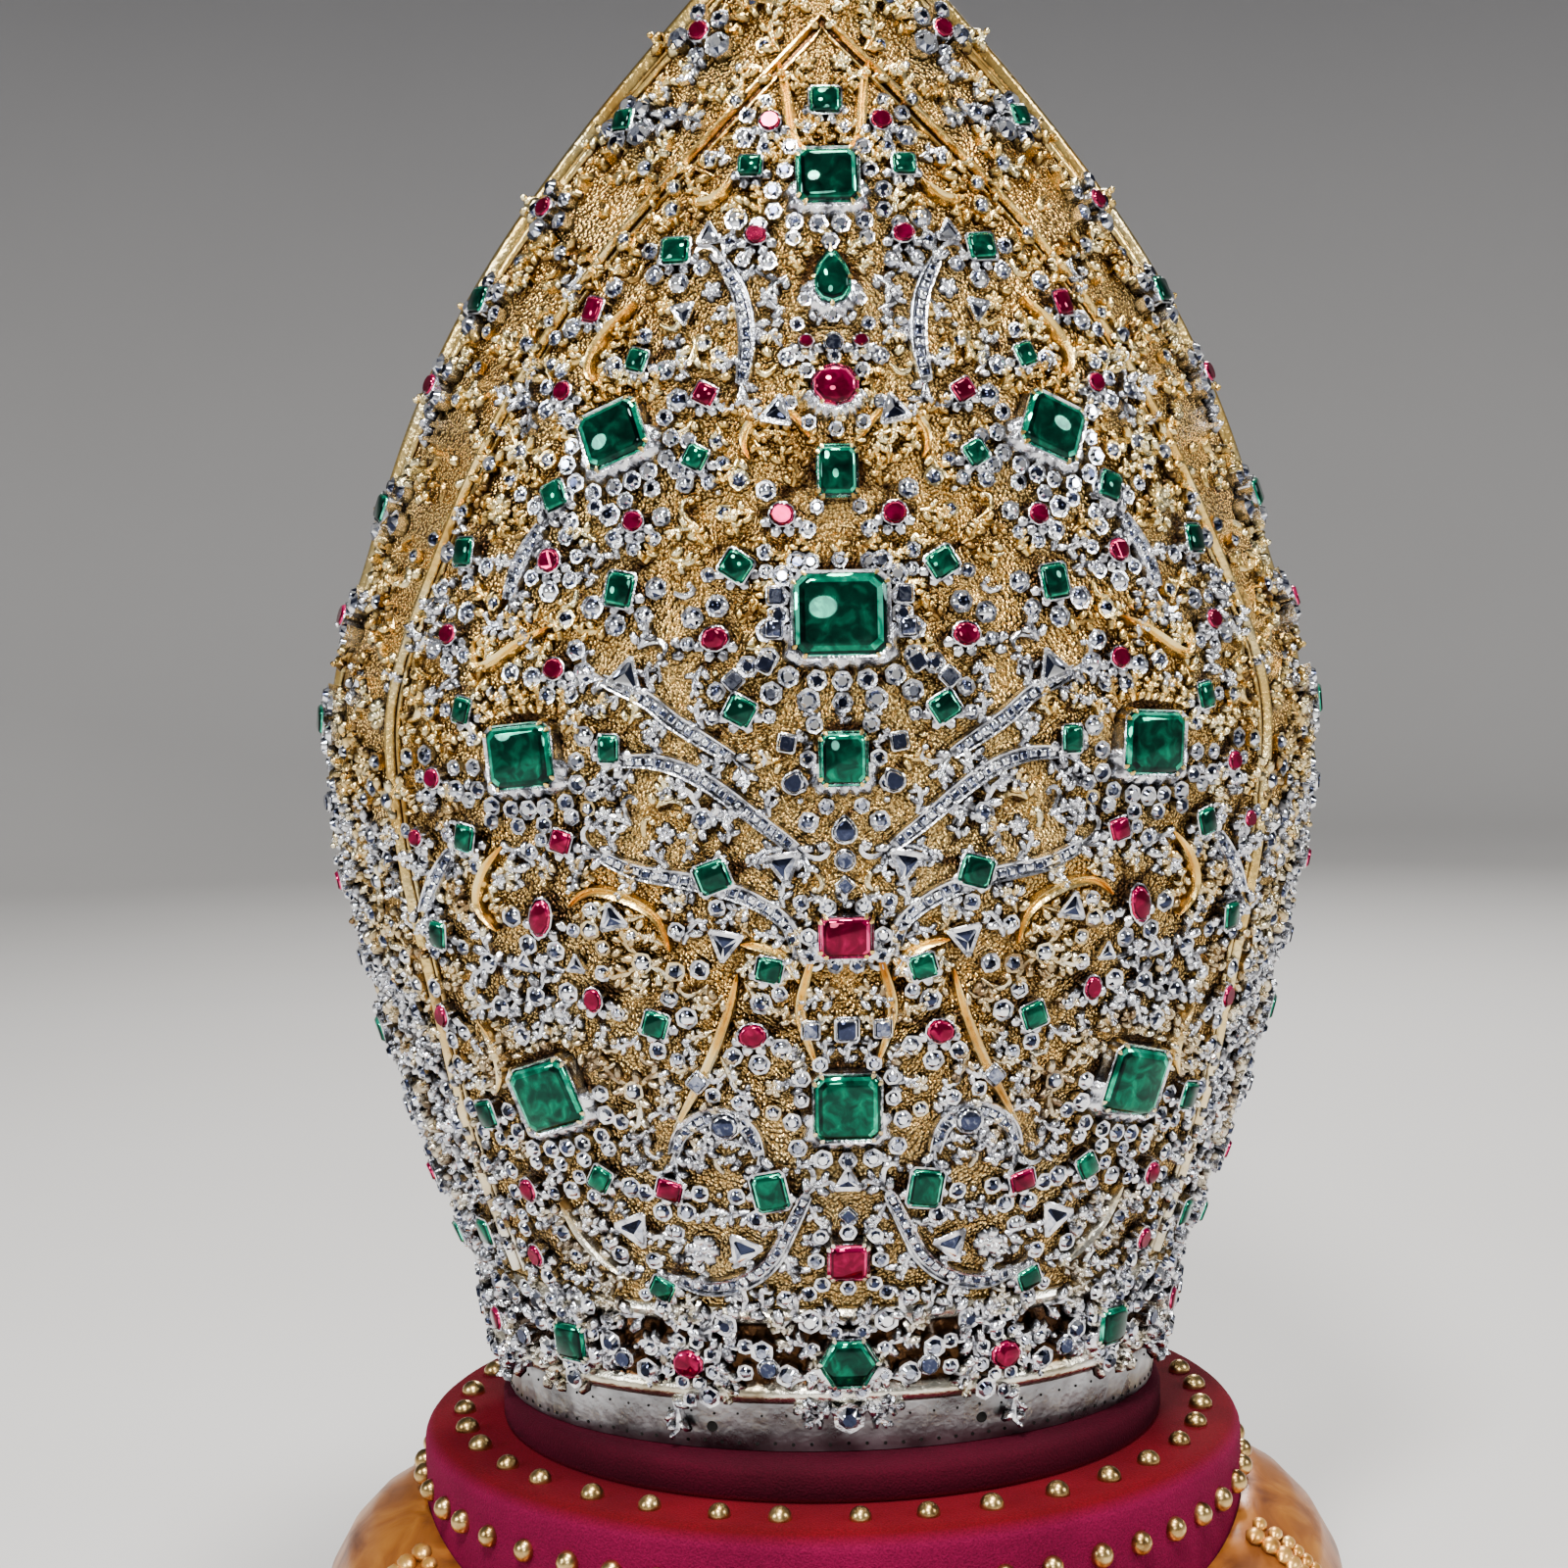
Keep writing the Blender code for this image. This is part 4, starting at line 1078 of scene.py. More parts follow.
def make_rib_gold():
    """Thicker gilding on the carved ribs of the foot."""
    tree, shader = new_material("rib_gold", 0.30, 0.75)
    patches = place_texture(tree, "ShaderNodeTexNoise", 150.0, 5.0)
    colour = ramp(tree, patches.outputs["Fac"], [(0.32, (0.34, 0.12, 0.018)), (0.50, (0.80, 0.40, 0.085)),
                                                 (0.68, (1.00, 0.66, 0.24))])
    # Each scale is painted darker towards its foot: painted shade together with tarnish
    finish_surface(tree, shader, wear_and_painted_shade(tree, (0.12, 0.035, 0.006), colour), patches, (0.45, 0.20))


def make_brass():
    """Old brass of the upholstery nails."""
    tree, shader = new_material("brass", 0.28, 1.0)
    patches = place_texture(tree, "ShaderNodeTexNoise", 220.0, 4.0)
    colour = ramp(tree, patches.outputs["Fac"], [(0.30, (0.20, 0.10, 0.03)), (0.65, (0.72, 0.50, 0.20))])
    tree.links.new(colour, shader.inputs["Base Color"])


def make_painted_hole_shade():
    """Near-black colour of the discs that stand for the sewing holes: painted shade of the hole's inside."""
    tree, shader = new_material("hole", 0.9, 0.0, Specular_IOR_Level=0.0)
    patches = place_texture(tree, "ShaderNodeTexNoise", 300.0, 2.0)
    tree.links.new(mix(tree, patches.outputs["Fac"], (0.004, 0.004, 0.004), (0.02, 0.018, 0.016)),
                   shader.inputs["Base Color"])


def make_backdrop():
    """Plain pale paper, greyer up the walls."""
    tree, shader = new_material("backdrop", 0.9, 0.0, Specular_IOR_Level=0.1)
    patches = place_texture(tree, "ShaderNodeTexNoise", 3.0, 2.0)
    paper = mix(tree, patches.outputs["Fac"], (0.54, 0.53, 0.52), (0.58, 0.57, 0.56))
    colour = mix(tree, height_factor(tree, 0.02, 1.3), paper, (0.16, 0.16, 0.17))
    tree.links.new(colour, shader.inputs["Base Color"])


# Colours over the painted facet light of the gems: the dark stops paint shaded facets and the brightest
# stops paint glints
EMERALD_STOPS = [(0.0, (0.0, 0.006, 0.005)), (0.34, (0.0, 0.045, 0.026)), (0.58, (0.0, 0.15, 0.078)),
                 (0.80, (0.0, 0.36, 0.20)), (1.0, (0.08, 0.82, 0.54))]
RUBY_STOPS = [(0.0, (0.04, 0.0, 0.006)), (0.36, (0.16, 0.0, 0.022)), (0.68, (0.50, 0.0, 0.085)),
              (1.0, (1.0, 0.06, 0.26))]
DIAMOND_STOPS = [(0.0, (0.004, 0.005, 0.010)), (0.34, (0.04, 0.05, 0.10)), (0.54, (0.50, 0.54, 0.66)),
                 (0.74, (0.98, 0.99, 1.0))]


def make_looks():
    """All the materials."""
    make_ground()
    make_gilt()
    make_silver()
    make_foliage()
    make_gem("emerald", EMERALD_STOPS, 0.78, 230.0, 1.25)
    make_gem("ruby", RUBY_STOPS, 0.78, 260.0, 1.0)
    make_gem("diamond", DIAMOND_STOPS, 0.92, 700.0, 0.5)
    make_head_band_silver()
    make_velvet()
    make_silk()
    make_gilt_wood()
    make_rib_gold()
    make_brass()
    make_painted_hole_shade()
    make_backdrop()


# The panels

GROUND_COLUMNS = 101
GROUND_ROWS = 125
INSIDE_STEP = 4
PLATE_INSET = EDGE_RADIUS + GAP
TIP_INSET = 2.2 * PLATE_INSET
# How far round ornament the ground is painted darker, as contact shadow together with patina, and how dark
# it starts
PATINA_AND_SHADOW_REACH = 0.0030
PATINA_AND_SHADOW_START = 0.50


def build_ground(taken):
    """The bowed gold plate, painted darker where ornament stands close: painted contact shadow together with
    patina.
    """
    top = rise_where(lambda rise: TIP_INSET)
    rises = np.linspace(0.0, top, GROUND_ROWS)
    shares = np.linspace(-1.0, 1.0, GROUND_COLUMNS)
    reach = np.array([side_inset(rise, PLATE_INSET) for rise in rises])
    sides = reach[:, None] * shares[None, :]
    heights = np.repeat(rises[:, None], GROUND_COLUMNS, axis=1)
    outer = lifted(panel_base, sides, heights, np.zeros_like(sides))
    inner = lifted(panel_base, sides, heights, np.full_like(sides, -PLATE))
    inner = inner[::INSIDE_STEP, ::-INSIDE_STEP]
    piece = Piece("ground_plate")
    piece.add(sheet_shape(outer, "ground", taken.room(outer)))
    piece.add(sheet_shape(inner, "ground", np.full(inner.shape[:2], 0.7)))
    show_both(piece, ["panel"])


def sheet_shape(grid, look, clean):
    """One side of a plate."""
    rows, count = grid.shape[:2]
    faces = [(low + k, low + k + 1, low + count + k + 1, low + count + k)
             for low in range(0, (rows - 1) * count, count) for k in range(count - 1)]
    return Shape(grid.reshape(-1, 3), faces, look, 0.5, clean)


# Profiles of the mouldings: distance inside the edge or border line, and lift, both in metres
EDGE_PROFILE = (
    (0.0092, -0.0010), (0.0092, 0.0003), (0.0085, 0.0013), (0.0078, 0.0016), (0.0070, 0.0011),
    (0.0064, 0.0003), (0.0056, 0.0002), (0.0050, 0.0010), (0.0043, 0.0010), (0.0037, 0.0002),
    (0.0028, 0.0008), (0.0018, 0.0020), (0.0006, 0.0026), (-0.0010, 0.0024), (-0.0022, 0.0014),
    (-0.0026, 0.0000), (-0.0020, -0.0016), (0.0000, -0.0024),
)
INNER_PROFILE = (
    (0.0046, -0.0008), (0.0046, 0.0002), (0.0041, 0.0012), (0.0035, 0.0012), (0.0030, 0.0002),
    (0.0016, 0.0002), (0.0011, 0.0014), (0.0004, 0.0024), (-0.0004, 0.0024), (-0.0011, 0.0014),
    (-0.0016, 0.0002), (-0.0016, -0.0008),
)
MOULDING_ROWS = 110


def moulding(profile, line_at, low, top):
    """A moulding on the right half, along a line at some distance inside the edge."""
    rows = []
    lifts = np.array([lift for _, lift in profile])
    for rise in np.linspace(low, top, MOULDING_ROWS):
        sides = np.array([side_inset(rise, line_at(rise) + inset) for inset, _ in profile])
        rows.append(lifted(panel_base, sides, np.full(len(sides), rise), lifts))
    # The grooves of the moulding are painted darker than its ridges: painted shade together with tarnish
    return strip(rows, "gilt", np.tile((lifts - 0.0002) / 0.0012, MOULDING_ROWS))


def build_mouldings():
    """The ridges along the edge and inside the border."""
    edge = Piece("edge_bead")
    edge.add_pair(moulding(EDGE_PROFILE, lambda rise: 0.0, 0.004, 0.996))
    show_both(edge, ["edge_moulding"])
    inner = Piece("inner_bead")
    top = rise_where(border_at)
    inner.add_pair(moulding(INNER_PROFILE, border_at, 0.006, top))
    show_both(inner, ["inner_moulding"])


def smooth_path(points, steps):
    """A smooth curve through chosen points, with a number of steps between each two."""
    points = [np.array(point) for point in points]
    ends = [2 * points[0] - points[1]] + points + [2 * points[-1] - points[-2]]
    path = []
    for a, b, c, d in zip(ends, ends[1:], ends[2:], ends[3:]):
        for t in np.arange(steps) / steps:
            path.append(0.5 * (2 * b + (c - a) * t + (2 * a - 5 * b + 4 * c - d) * t**2
                               + (3 * b - a - 3 * c + d) * t**3))
    path.append(points[-1])
    return np.array(path)


SMOOTHINGS = 5


def even_path(points, spacing):
    """Places along a smooth curve on the panel, evenly spaced in metres."""
    path = smooth_path(points, 12)
    places = panel_base(path[:, 0], path[:, 1])
    lengths = np.concatenate(([0.0], np.cumsum(np.linalg.norm(np.diff(places, axis=0), axis=1))))
    marks = np.linspace(0.0, lengths[-1], max(int(lengths[-1] / spacing), 2) + 1)
    path = np.column_stack([np.interp(marks, lengths, path[:, k]) for k in (0, 1)])
    for _ in range(SMOOTHINGS):
        path[1:-1] = (path[:-2] + 2 * path[1:-1] + path[2:]) / 4
    return path


def course_turn(path, k):
    """The direction of a path on the panel, as a turn from straight up."""
    before, after = path[max(k - 1, 0)], path[min(k + 1, len(path) - 1)]
    heading = panel_base(*after) - panel_base(*before)
    _, across, up, _ = axes_on(panel_base, *path[k])
    return math.atan2(-(heading @ across), heading @ up)


def ribbon(path, profile, width, look, end):
    """A bar along a path on the panel, slimmer towards its ends, where it has a share of its width."""
    rows = []
    lifts = np.array([lift for _, lift in profile])
    for k, place in enumerate(path):
        point, across, up, out = axes_on(panel_base, *place)
        turn = course_turn(path, k)
        right = across * math.cos(turn) + up * math.sin(turn)
        share = k / (len(path) - 1)
        half = width / 2 * (end + (1 - end) * abs(math.sin(math.pi * share)) ** 0.6)
        rows.append([point + right * reach * half + out * lift for reach, lift in profile])
    # The lower parts of the bar are painted darker: painted shade together with tarnish
    return strip(rows, look, np.tile(lifts / CLEAN_AND_LIT_HEIGHT, len(path)))


RAIL_PROFILE = (
    (-1.0, -0.0006), (-1.0, 0.0022), (-0.84, 0.0030), (-0.66, 0.0028), (-0.54, 0.0014),
    (0.54, 0.0014), (0.66, 0.0028), (0.84, 0.0030), (1.0, 0.0022), (1.0, -0.0006),
)
STEM_PROFILE = (
    (-1.0, -0.0006), (-0.94, 0.0014), (-0.72, 0.0030), (-0.36, 0.0026), (0.0, 0.0018), (0.36, 0.0026),
    (0.72, 0.0030), (0.94, 0.0014), (1.0, -0.0006),
)
SCROLL_WIDTH = 0.0054
STEM_WIDTH = 0.0036
SCROLL_STONE = 0.0023
SCROLL_STONE_RINGS = ((1.0, 0.0012), (1.0, 0.0023), (0.6, 0.0028))
SCROLL_STONE_FACES = 18
SCROLL_STEP = 0.0026
STEM_STEP = 0.0018
SCROLL_ROOM = 0.0032
STEM_ROOM = 0.0018

# The share of its width that a scroll or a stem has at its ends
SCROLL_END = 0.66
STEM_END = 0.14


def build_scrolls(leaves, taken):
    """Railed scrolls set with square diamonds, and leafy stems."""
    piece = Piece("scrolls")
    for points in DIAMOND_SCROLLS:
        path = even_path(points, SCROLL_STEP)
        rail = ribbon(even_path(points, SCROLL_STEP / 2), RAIL_PROFILE, SCROLL_WIDTH, "silver", SCROLL_END)
        piece.add_pair(rail)
        for k in range(1, len(path) - 1):
            outline = cut_outline("square", SCROLL_STONE, SCROLL_STONE)
            rings = [flat_ring(outline, spread, z) for spread, z in SCROLL_STONE_RINGS]
            # The facets of each scroll diamond are painted random levels of light: painted reflections and
            # shade
            stone = stack(rings, "diamond", RANDOM.permutation(np.linspace(0.1, 1.0, SCROLL_STONE_FACES)))
            piece.put_pair(stone, panel_base, *path[k], turn=course_turn(path, k))
        for place in path:
            taken.add(*place, SCROLL_ROOM)
        add_ends(leaves, path)
        add_sprays(leaves, path, "silver")
    for points in PLAIN_SCROLLS:
        path = even_path(points, STEM_STEP)
        piece.add_pair(ribbon(path, STEM_PROFILE, STEM_WIDTH, "gilt", STEM_END))
        for place in path:
            taken.add(*place, STEM_ROOM)
        add_sprays(leaves, path, "foliage")
    show_both(piece)


def add_ends(leaves, path):
    """A curl and a leaf where a scroll begins and ends."""
    for k, along in ((0, math.pi), (len(path) - 1, 0.0)):
        turn = course_turn(path, k) + along
        hand = 1 if k else -1
        leaves.put_pair(curl(0.0120, hand * 4.2, "silver", 0.0030), panel_base, *path[k], turn=turn)
        leaves.put_pair(acanthus(0.0090, -hand * 2.4, 4, "silver", 0.0030), panel_base, *path[k],
                        turn=turn - hand * 0.4)


SPRAY_OFFSET = 0.0024

# A leaf or stone that is nearer the centre line than this share would meet its own mirror image
CENTRE_ROOM = 0.012


def add_sprays(leaves, path, look):
    """Curled leaves that spring from alternate sides of a scroll."""
    for k in range(1, len(path) - 1, 3):
        hand = 1 if (k // 3) % 2 else -1
        shape = acanthus(RANDOM.uniform(0.0062, 0.0084), hand * 2.2, 4, look)
        turn = course_turn(path, k)
        offset = -hand * SPRAY_OFFSET
        place = shifted(panel_base, *path[k], offset * math.cos(turn), offset * math.sin(turn))
        if place[0] > CENTRE_ROOM:
            leaves.put_pair(shape, panel_base, *place, turn=turn + hand * 0.7)


class Taken:
    """Round areas of the right half that are already covered."""

    def __init__(self):
        self.places = []
        self.radii = []

    def add(self, side, rise, radius):
        """Covers an area."""
        self.places.append(panel_base(side, rise))
        self.radii.append(radius)

    def free(self, point, radius):
        """Whether a circle of that radius would cover nothing that is taken."""
        gaps = np.linalg.norm(np.array(self.places) - point, axis=1) - np.array(self.radii)
        return gaps.min() > radius

    def room(self, points):
        """How far from anything taken points of either half are, as a share from 0 to 1."""
        flat = points.reshape(-1, 3).copy()
        flat[:, 0] = np.abs(flat[:, 0])
        places, radii = np.array(self.places), np.array(self.radii)
        shares = []
        for part in np.array_split(flat, 40):
            gaps = np.linalg.norm(part[:, None] - places[None], axis=2) - radii[None]
            shares.append(np.clip(gaps.min(axis=1) / PATINA_AND_SHADOW_REACH + PATINA_AND_SHADOW_START, 0.0, 1.0))
        return np.concatenate(shares).reshape(points.shape[:-1])


SKIRT_PROFILE = ((-0.0004, -0.0006), (-0.0004, 0.0040), (0.0010, 0.0042), (0.0024, 0.0030),
                 (0.0034, 0.0012), (0.0034, -0.0006))
SKIRT_LOBES = 9


def skirt(row, width, height):
    """A bright lobed flare round the lower side of a large stone."""
    rows = []
    steps = SKIRT_LOBES * 4
    for k in range(steps + 1):
        angle = math.radians(-170 + 160 * k / steps)
        reach = reach_of(row["cut"], width, height, angle)
        out = np.array([math.cos(angle), math.sin(angle)])
        lobe = 0.76 + 0.34 * abs(math.sin(math.pi * SKIRT_LOBES * k / steps))
        rows.append([[*(out * (reach + max(along, 0.0) * lobe + min(along, 0.0))), z]
                     for along, z in reversed(SKIRT_PROFILE)])
    return strip(rows[::-1], "silver", [0.9] * len(rows) * len(SKIRT_PROFILE))


def build_main_stones(rows, base, piece, taken=None):
    """The main stones in their collets, with claws, and a flare below the larger ones."""
    for row in rows:
        width, height = row["width"] * STONE, row["height"] * STONE
        outline = cut_outline(row["cut"], width, height)
        parts = [collet(outline), step_stone(outline * 0.98, row["gem"], COLLET_HEIGHT * 0.9,
                                             COLLET_HEIGHT + CROWN_HEIGHT)]
        for x, y in outline[::1 if len(outline) < 9 else 3]:
            parts.append(claw(x * 0.98, y * 0.98, 0.0006, COLLET_HEIGHT + 0.0006, 0.0007, "gilt"))
        if min(width, height) > 0.011:
            parts.append(skirt(row, width, height))
        piece.put_pair(merged(parts), base, row["side"], row["rise"], turn=math.radians(row["turn"]))
        if taken:
            taken.add(row["side"], row["rise"], math.hypot(width, height) / 2 * 0.90 + 0.0008)


def collet(outline):
    """The setting of a main stone: a nearly straight wall with a thin bright lip."""
    wall = [(1.08, -0.0008), (1.02, COLLET_HEIGHT * 0.4), (1.0, COLLET_HEIGHT * 0.85),
            (1.045, COLLET_HEIGHT), (1.03, COLLET_HEIGHT + 0.0005), (0.95, COLLET_HEIGHT * 0.95)]
    return stack([flat_ring(outline, spread, z) for spread, z in wall], "silver")


def reach_of(cut, width, height, angle):
    """Distance from a stone's middle to its outline in a direction."""
    c, s = abs(math.cos(angle)), abs(math.sin(angle))
    if cut == "square":
        return min(width / 2 / max(c, 1e-6), height / 2 / max(s, 1e-6), math.hypot(width, height) / 2 * 0.92)
    return 1 / math.hypot(c / (width / 2), s / (height / 2))


def build_halos(rows, base, piece, leaves, taken):
    """Round diamonds that follow a stone's outline, and gilt leaves over its upper side."""
    stones = {row["name"]: row for row in rows}
    for halo in rows_of(HALO_COLUMNS, HALOS):
        row = stones[halo["name"]]
        for degrees in np.linspace(halo["start"], halo["end"], halo["count"]):
            place, heading = beside(row, base, math.radians(degrees), halo["margin"])
            if place is None:
                continue
            radius = halo["radius"] * RANDOM.uniform(0.92, 1.08)
            piece.put_pair(round_diamond(radius, height=0.0034, rich=True), base, *place, turn=heading)
            taken.add(*place, radius * 1.15)
    for row in rows:
        big = row["width"] > 0.6
        for degrees in np.linspace(24, 156, 7 if big else 5):
            place, heading = beside(row, base, math.radians(degrees), 0.0026 if big else 0.0018)
            if place is None:
                continue
            size = 0.0072 if big else 0.0054
            shape = acanthus(size * RANDOM.uniform(0.9, 1.1), RANDOM.choice([-2.4, 2.4]), 4,
                             "foliage" if row["side"] or row["rise"] > 0.4 else "silver", 0.0030)
            leaves.put_pair(shape, base, *place, turn=heading - math.pi / 2)
            taken.add(*place, 0.0022)


def beside(row, base, angle, margin):
    """A place at a stone's outline, and its direction; none on the left of a middle stone."""
    distance = reach_of(row["cut"], row["width"] * STONE, row["height"] * STONE, angle) + margin
    heading = angle + math.radians(row["turn"])
    if row["side"] == 0 and math.cos(angle) < -0.01:
        return None, heading
    side, rise = shifted(base, row["side"], row["rise"], distance * math.cos(heading),
                         distance * math.sin(heading))
    if row["side"] == 0 and math.cos(angle) < 0.01:
        side = 0.0
    return (side, rise), heading


SMALL_GROWTH = 1.14


def build_small_stones(piece, leaves, taken):
    """The small coloured stones with their bright petals, satellites and leaves."""
    rows = rows_of(SMALL_COLUMNS, SMALL_STONES)
    for row in rows:
        width, height = row["width"] * SMALL_GROWTH, row["height"] * SMALL_GROWTH
        stone = set_stone(row["cut"], row["gem"], width, height)
        piece.put_pair(stone, panel_base, row["side"], row["rise"], turn=math.radians(row["turn"]))
        add_petals(piece, row["side"], row["rise"], max(width, height) / 2)
        taken.add(row["side"], row["rise"], max(width, height) / 2 + 0.0020)
    for row in rows:
        add_satellites(piece, leaves, row["side"], row["rise"],
                       max(row["width"], row["height"]) / 2 * SMALL_GROWTH + 0.0012, taken)


def add_petals(piece, side, rise, radius):
    """Bright petals that hug the lower side of a small stone."""
    for degrees in (-155, -112, -68, -25):
        angle = math.radians(degrees)
        distance = radius * 0.62
        place = shifted(panel_base, side, rise, distance * math.cos(angle), distance * math.sin(angle))
        shape = petal(0.0044, 0.0036, 0.0014, "silver")
        piece.put_pair(shape, panel_base, *place, turn=angle - math.pi / 2, lift=0.0022, tilt=-0.20)


def add_satellites(piece, leaves, side, rise, radius, taken, count=7):
    """Small diamonds and leaves close round a stone, where there is room."""
    start = RANDOM.uniform(0, 2 * math.pi)
    for k in range(count):
        angle = start + 2 * math.pi * k / count
        size = RANDOM.uniform(0.0018, 0.0029)
        distance = radius + 0.0008 + size
        place = shifted(panel_base, side, rise, distance * math.cos(angle), distance * math.sin(angle))
        if place[0] < CENTRE_ROOM or not taken.free(panel_base(*place), size * 0.5):
            continue
        below = math.sin(angle) < 0.2
        if RANDOM.random() < (0.75 if below else 0.3):
            piece.put_pair(round_diamond(size, rich=size > 0.0025), panel_base, *place, turn=angle)
            taken.add(*place, size)
        else:
            shape = acanthus(RANDOM.uniform(0.0056, 0.0076), RANDOM.choice([-2.4, 2.4]), 4,
                             metal_at(*place), 0.0026)
            leaves.put_pair(shape, panel_base, *place, turn=angle - math.pi / 2)
            taken.add(*place, size)


def metal_at(side, rise):
    """The metal of a leaf: mostly brown gold high up and on the flanks, mostly silver low down."""
    share = np.interp(rise, [0.0, 0.25, 0.5, 0.8], [0.85, 0.58, 0.24, 0.12])
    middle = 0.16 * math.exp(-(side / 0.25) ** 2)
    return "silver" if RANDOM.random() < share + middle else "foliage"


def build_diamonds(piece, taken):
    """The larger diamonds in pointed or boxed settings."""
    for row in rows_of(DIAMOND_COLUMNS, DIAMONDS):
        stone = set_stone(row["cut"], "diamond", row["width"], row["width"] * 1.05, lift=0.0036)
        piece.put_pair(stone, panel_base, row["side"], row["rise"], turn=math.radians(row["turn"]))
        taken.add(row["side"], row["rise"], row["width"] / 2 + 0.0008)


def build_border(piece, leaves, taken):
    """Clusters of stones on the border band, on stalks that hold them away from it."""
    for row in rows_of(BORDER_COLUMNS, BORDER_STONES):
        side = side_inset(row["rise"], row["out"])
        size = row["size"] * SMALL_GROWTH
        stone = set_stone(row["cut"], row["gem"], size, size, lift=0.0058)
        piece.put_pair(stone, panel_base, side, row["rise"], turn=RANDOM.uniform(-0.3, 0.3))
        taken.add(side, row["rise"], size / 2 + 0.0012)
        high = row["rise"] > 0.40
        count = 5 if high else 7
        for k in range(count):
            angle = 2 * math.pi * (k + RANDOM.uniform(-0.15, 0.15)) / count
            distance = size / 2 + RANDOM.uniform(0.0026, 0.0040)
            place = shifted(panel_base, side, row["rise"], distance * math.cos(angle),
                            distance * math.sin(angle))
            radius = RANDOM.uniform(0.0024, 0.0034) if high else RANDOM.uniform(0.0020, 0.0029)
            stone = round_diamond(radius, height=RANDOM.uniform(0.003, 0.0056), rich=radius > 0.0026)
            piece.put_pair(stone, panel_base, *place)
            taken.add(*place, radius)
            if high and k % 2:
                continue
            shape = acanthus(RANDOM.uniform(0.0080, 0.0110), RANDOM.choice([-2.2, 2.2]), 4,
                             metal_at(side, row["rise"]), RANDOM.uniform(0.003, 0.0045))
            leaves.put_pair(shape, panel_base, *place, turn=angle - math.pi / 2)


# Filling ornament: the room each kind needs in metres, and how often a place is tried
FILL_COLUMNS = ("radius", "tries", "kind")
FILLERS = (
    (0.0066, 900, "spray"),
    (0.0050, 2400, "sprig"),
    (0.0037, 3400, "diamond"),
    (0.0028, 3600, "small"),
    (0.0020, 1800, "grain"),
)


def fill_shape(kind, radius, look):
    """One filling ornament and whether it is mainly leaf."""
    pick = RANDOM.random()
    hand = RANDOM.choice([-1, 1])
    if kind == "spray":
        if pick < 0.30:
            return rosette(radius * 0.80, 6, look), True
        parts = [round_diamond(0.0027, look, rich=True)]
        for k in range(3):
            turn = 2 * math.pi * k / 3 + RANDOM.uniform(-0.4, 0.4)
            parts.append(acanthus(0.0092, hand * 2.4, 4, look).moved(
                -0.0020 * math.sin(turn), 0.0020 * math.cos(turn), turn=turn))
        return merged(parts), False
    if kind == "sprig":
        if pick < 0.07:
            return set_stone("triangle", "diamond", radius * 1.4, radius * 1.4, 0.0034), False
        if pick < 0.50:
            return merged([acanthus(0.0098, hand * 2.6, 4, look).moved(0, -0.0042),
                           round_diamond(0.0022, look).moved(hand * 0.0028, -0.0012)]), True
        return merged([curl(0.0115, hand * 4.4, look).moved(0, -0.0036),
                       acanthus(0.0080, -hand * 2.2, 4, look).moved(0, -0.0034, turn=-hand * 0.5)]), True
    if kind == "diamond":
        if pick < 0.40:
            return round_diamond(radius * 0.70, look, RANDOM.uniform(0.0022, 0.0034)), False
        if pick < 0.55:
            return rosette(radius * 0.95, 5, look), True
        return acanthus(0.0080, hand * 2.6, 4, look).moved(0, -0.0034), True
    if kind == "small":
        if pick < 0.34:
            return round_diamond(radius * 0.74, look), False
        return curl(0.0074, hand * 4.0, look, 0.0020).moved(0, -0.0022), True
    if pick < 0.45:
        return grain(0.0012, 0.0010, look), True
    return petal(0.0046, 0.0034, 0.0018, look).moved(0, -0.0020, tilt=0.3), True


def fill_chance(side, rise, inset):
    """How likely a place is filled: the middle shows the gold ground, the upper border too."""
    middle = math.exp(-(side / 0.26) ** 2) * (1.0 if 0.2 < rise < 0.85 else 0.7)
    chance = 1.0 - 0.62 * middle
    if inset < border_at(rise) and rise > 0.40:
        chance *= 0.08
    return chance


def in_frame(side, rise, radius):
    """The distance inside the edge, if a circle clears the mouldings, or none."""
    arc = arc_from_edge(rise)
    inset = float(np.interp(-side, -ARC_SIDES, arc))
    border = float(border_at(rise))
    on_border = 0.0095 + radius < inset < border - radius * 0.3
    on_field = inset > border + 0.0040 + radius * 0.3
    return inset if (on_border or on_field) and arc[-1] - inset > radius else None


def build_fill(settings, leaves, taken):
    """Leaves, rosettes and small diamonds in the room that is left."""
    for row in rows_of(FILL_COLUMNS, FILLERS):
        for _ in range(row["tries"]):
            side, rise, chance = RANDOM.uniform(0.0, 1.0), RANDOM.uniform(0.008, 0.96), RANDOM.random()
            inset = in_frame(side, rise, row["radius"] * 0.8)
            if inset is None or chance > fill_chance(side, rise, inset):
                continue
            if not taken.free(panel_base(side, rise), row["radius"] * 0.80):
                continue
            shape, leafy = fill_shape(row["kind"], row["radius"], metal_at(side, rise))
            target = leaves if leafy else settings
            target.put_pair(shape, panel_base, side, rise, turn=RANDOM.uniform(0, 2 * math.pi))
            taken.add(side, rise, row["radius"] * 0.80)


def stone_nodes(rows):
    """The names of the frame's stones without their face."""
    nodes = []
    for row in rows:
        nodes += [row["name"]] if row["side"] == 0 else [row["name"] + "_left", row["name"] + "_right"]
    return nodes


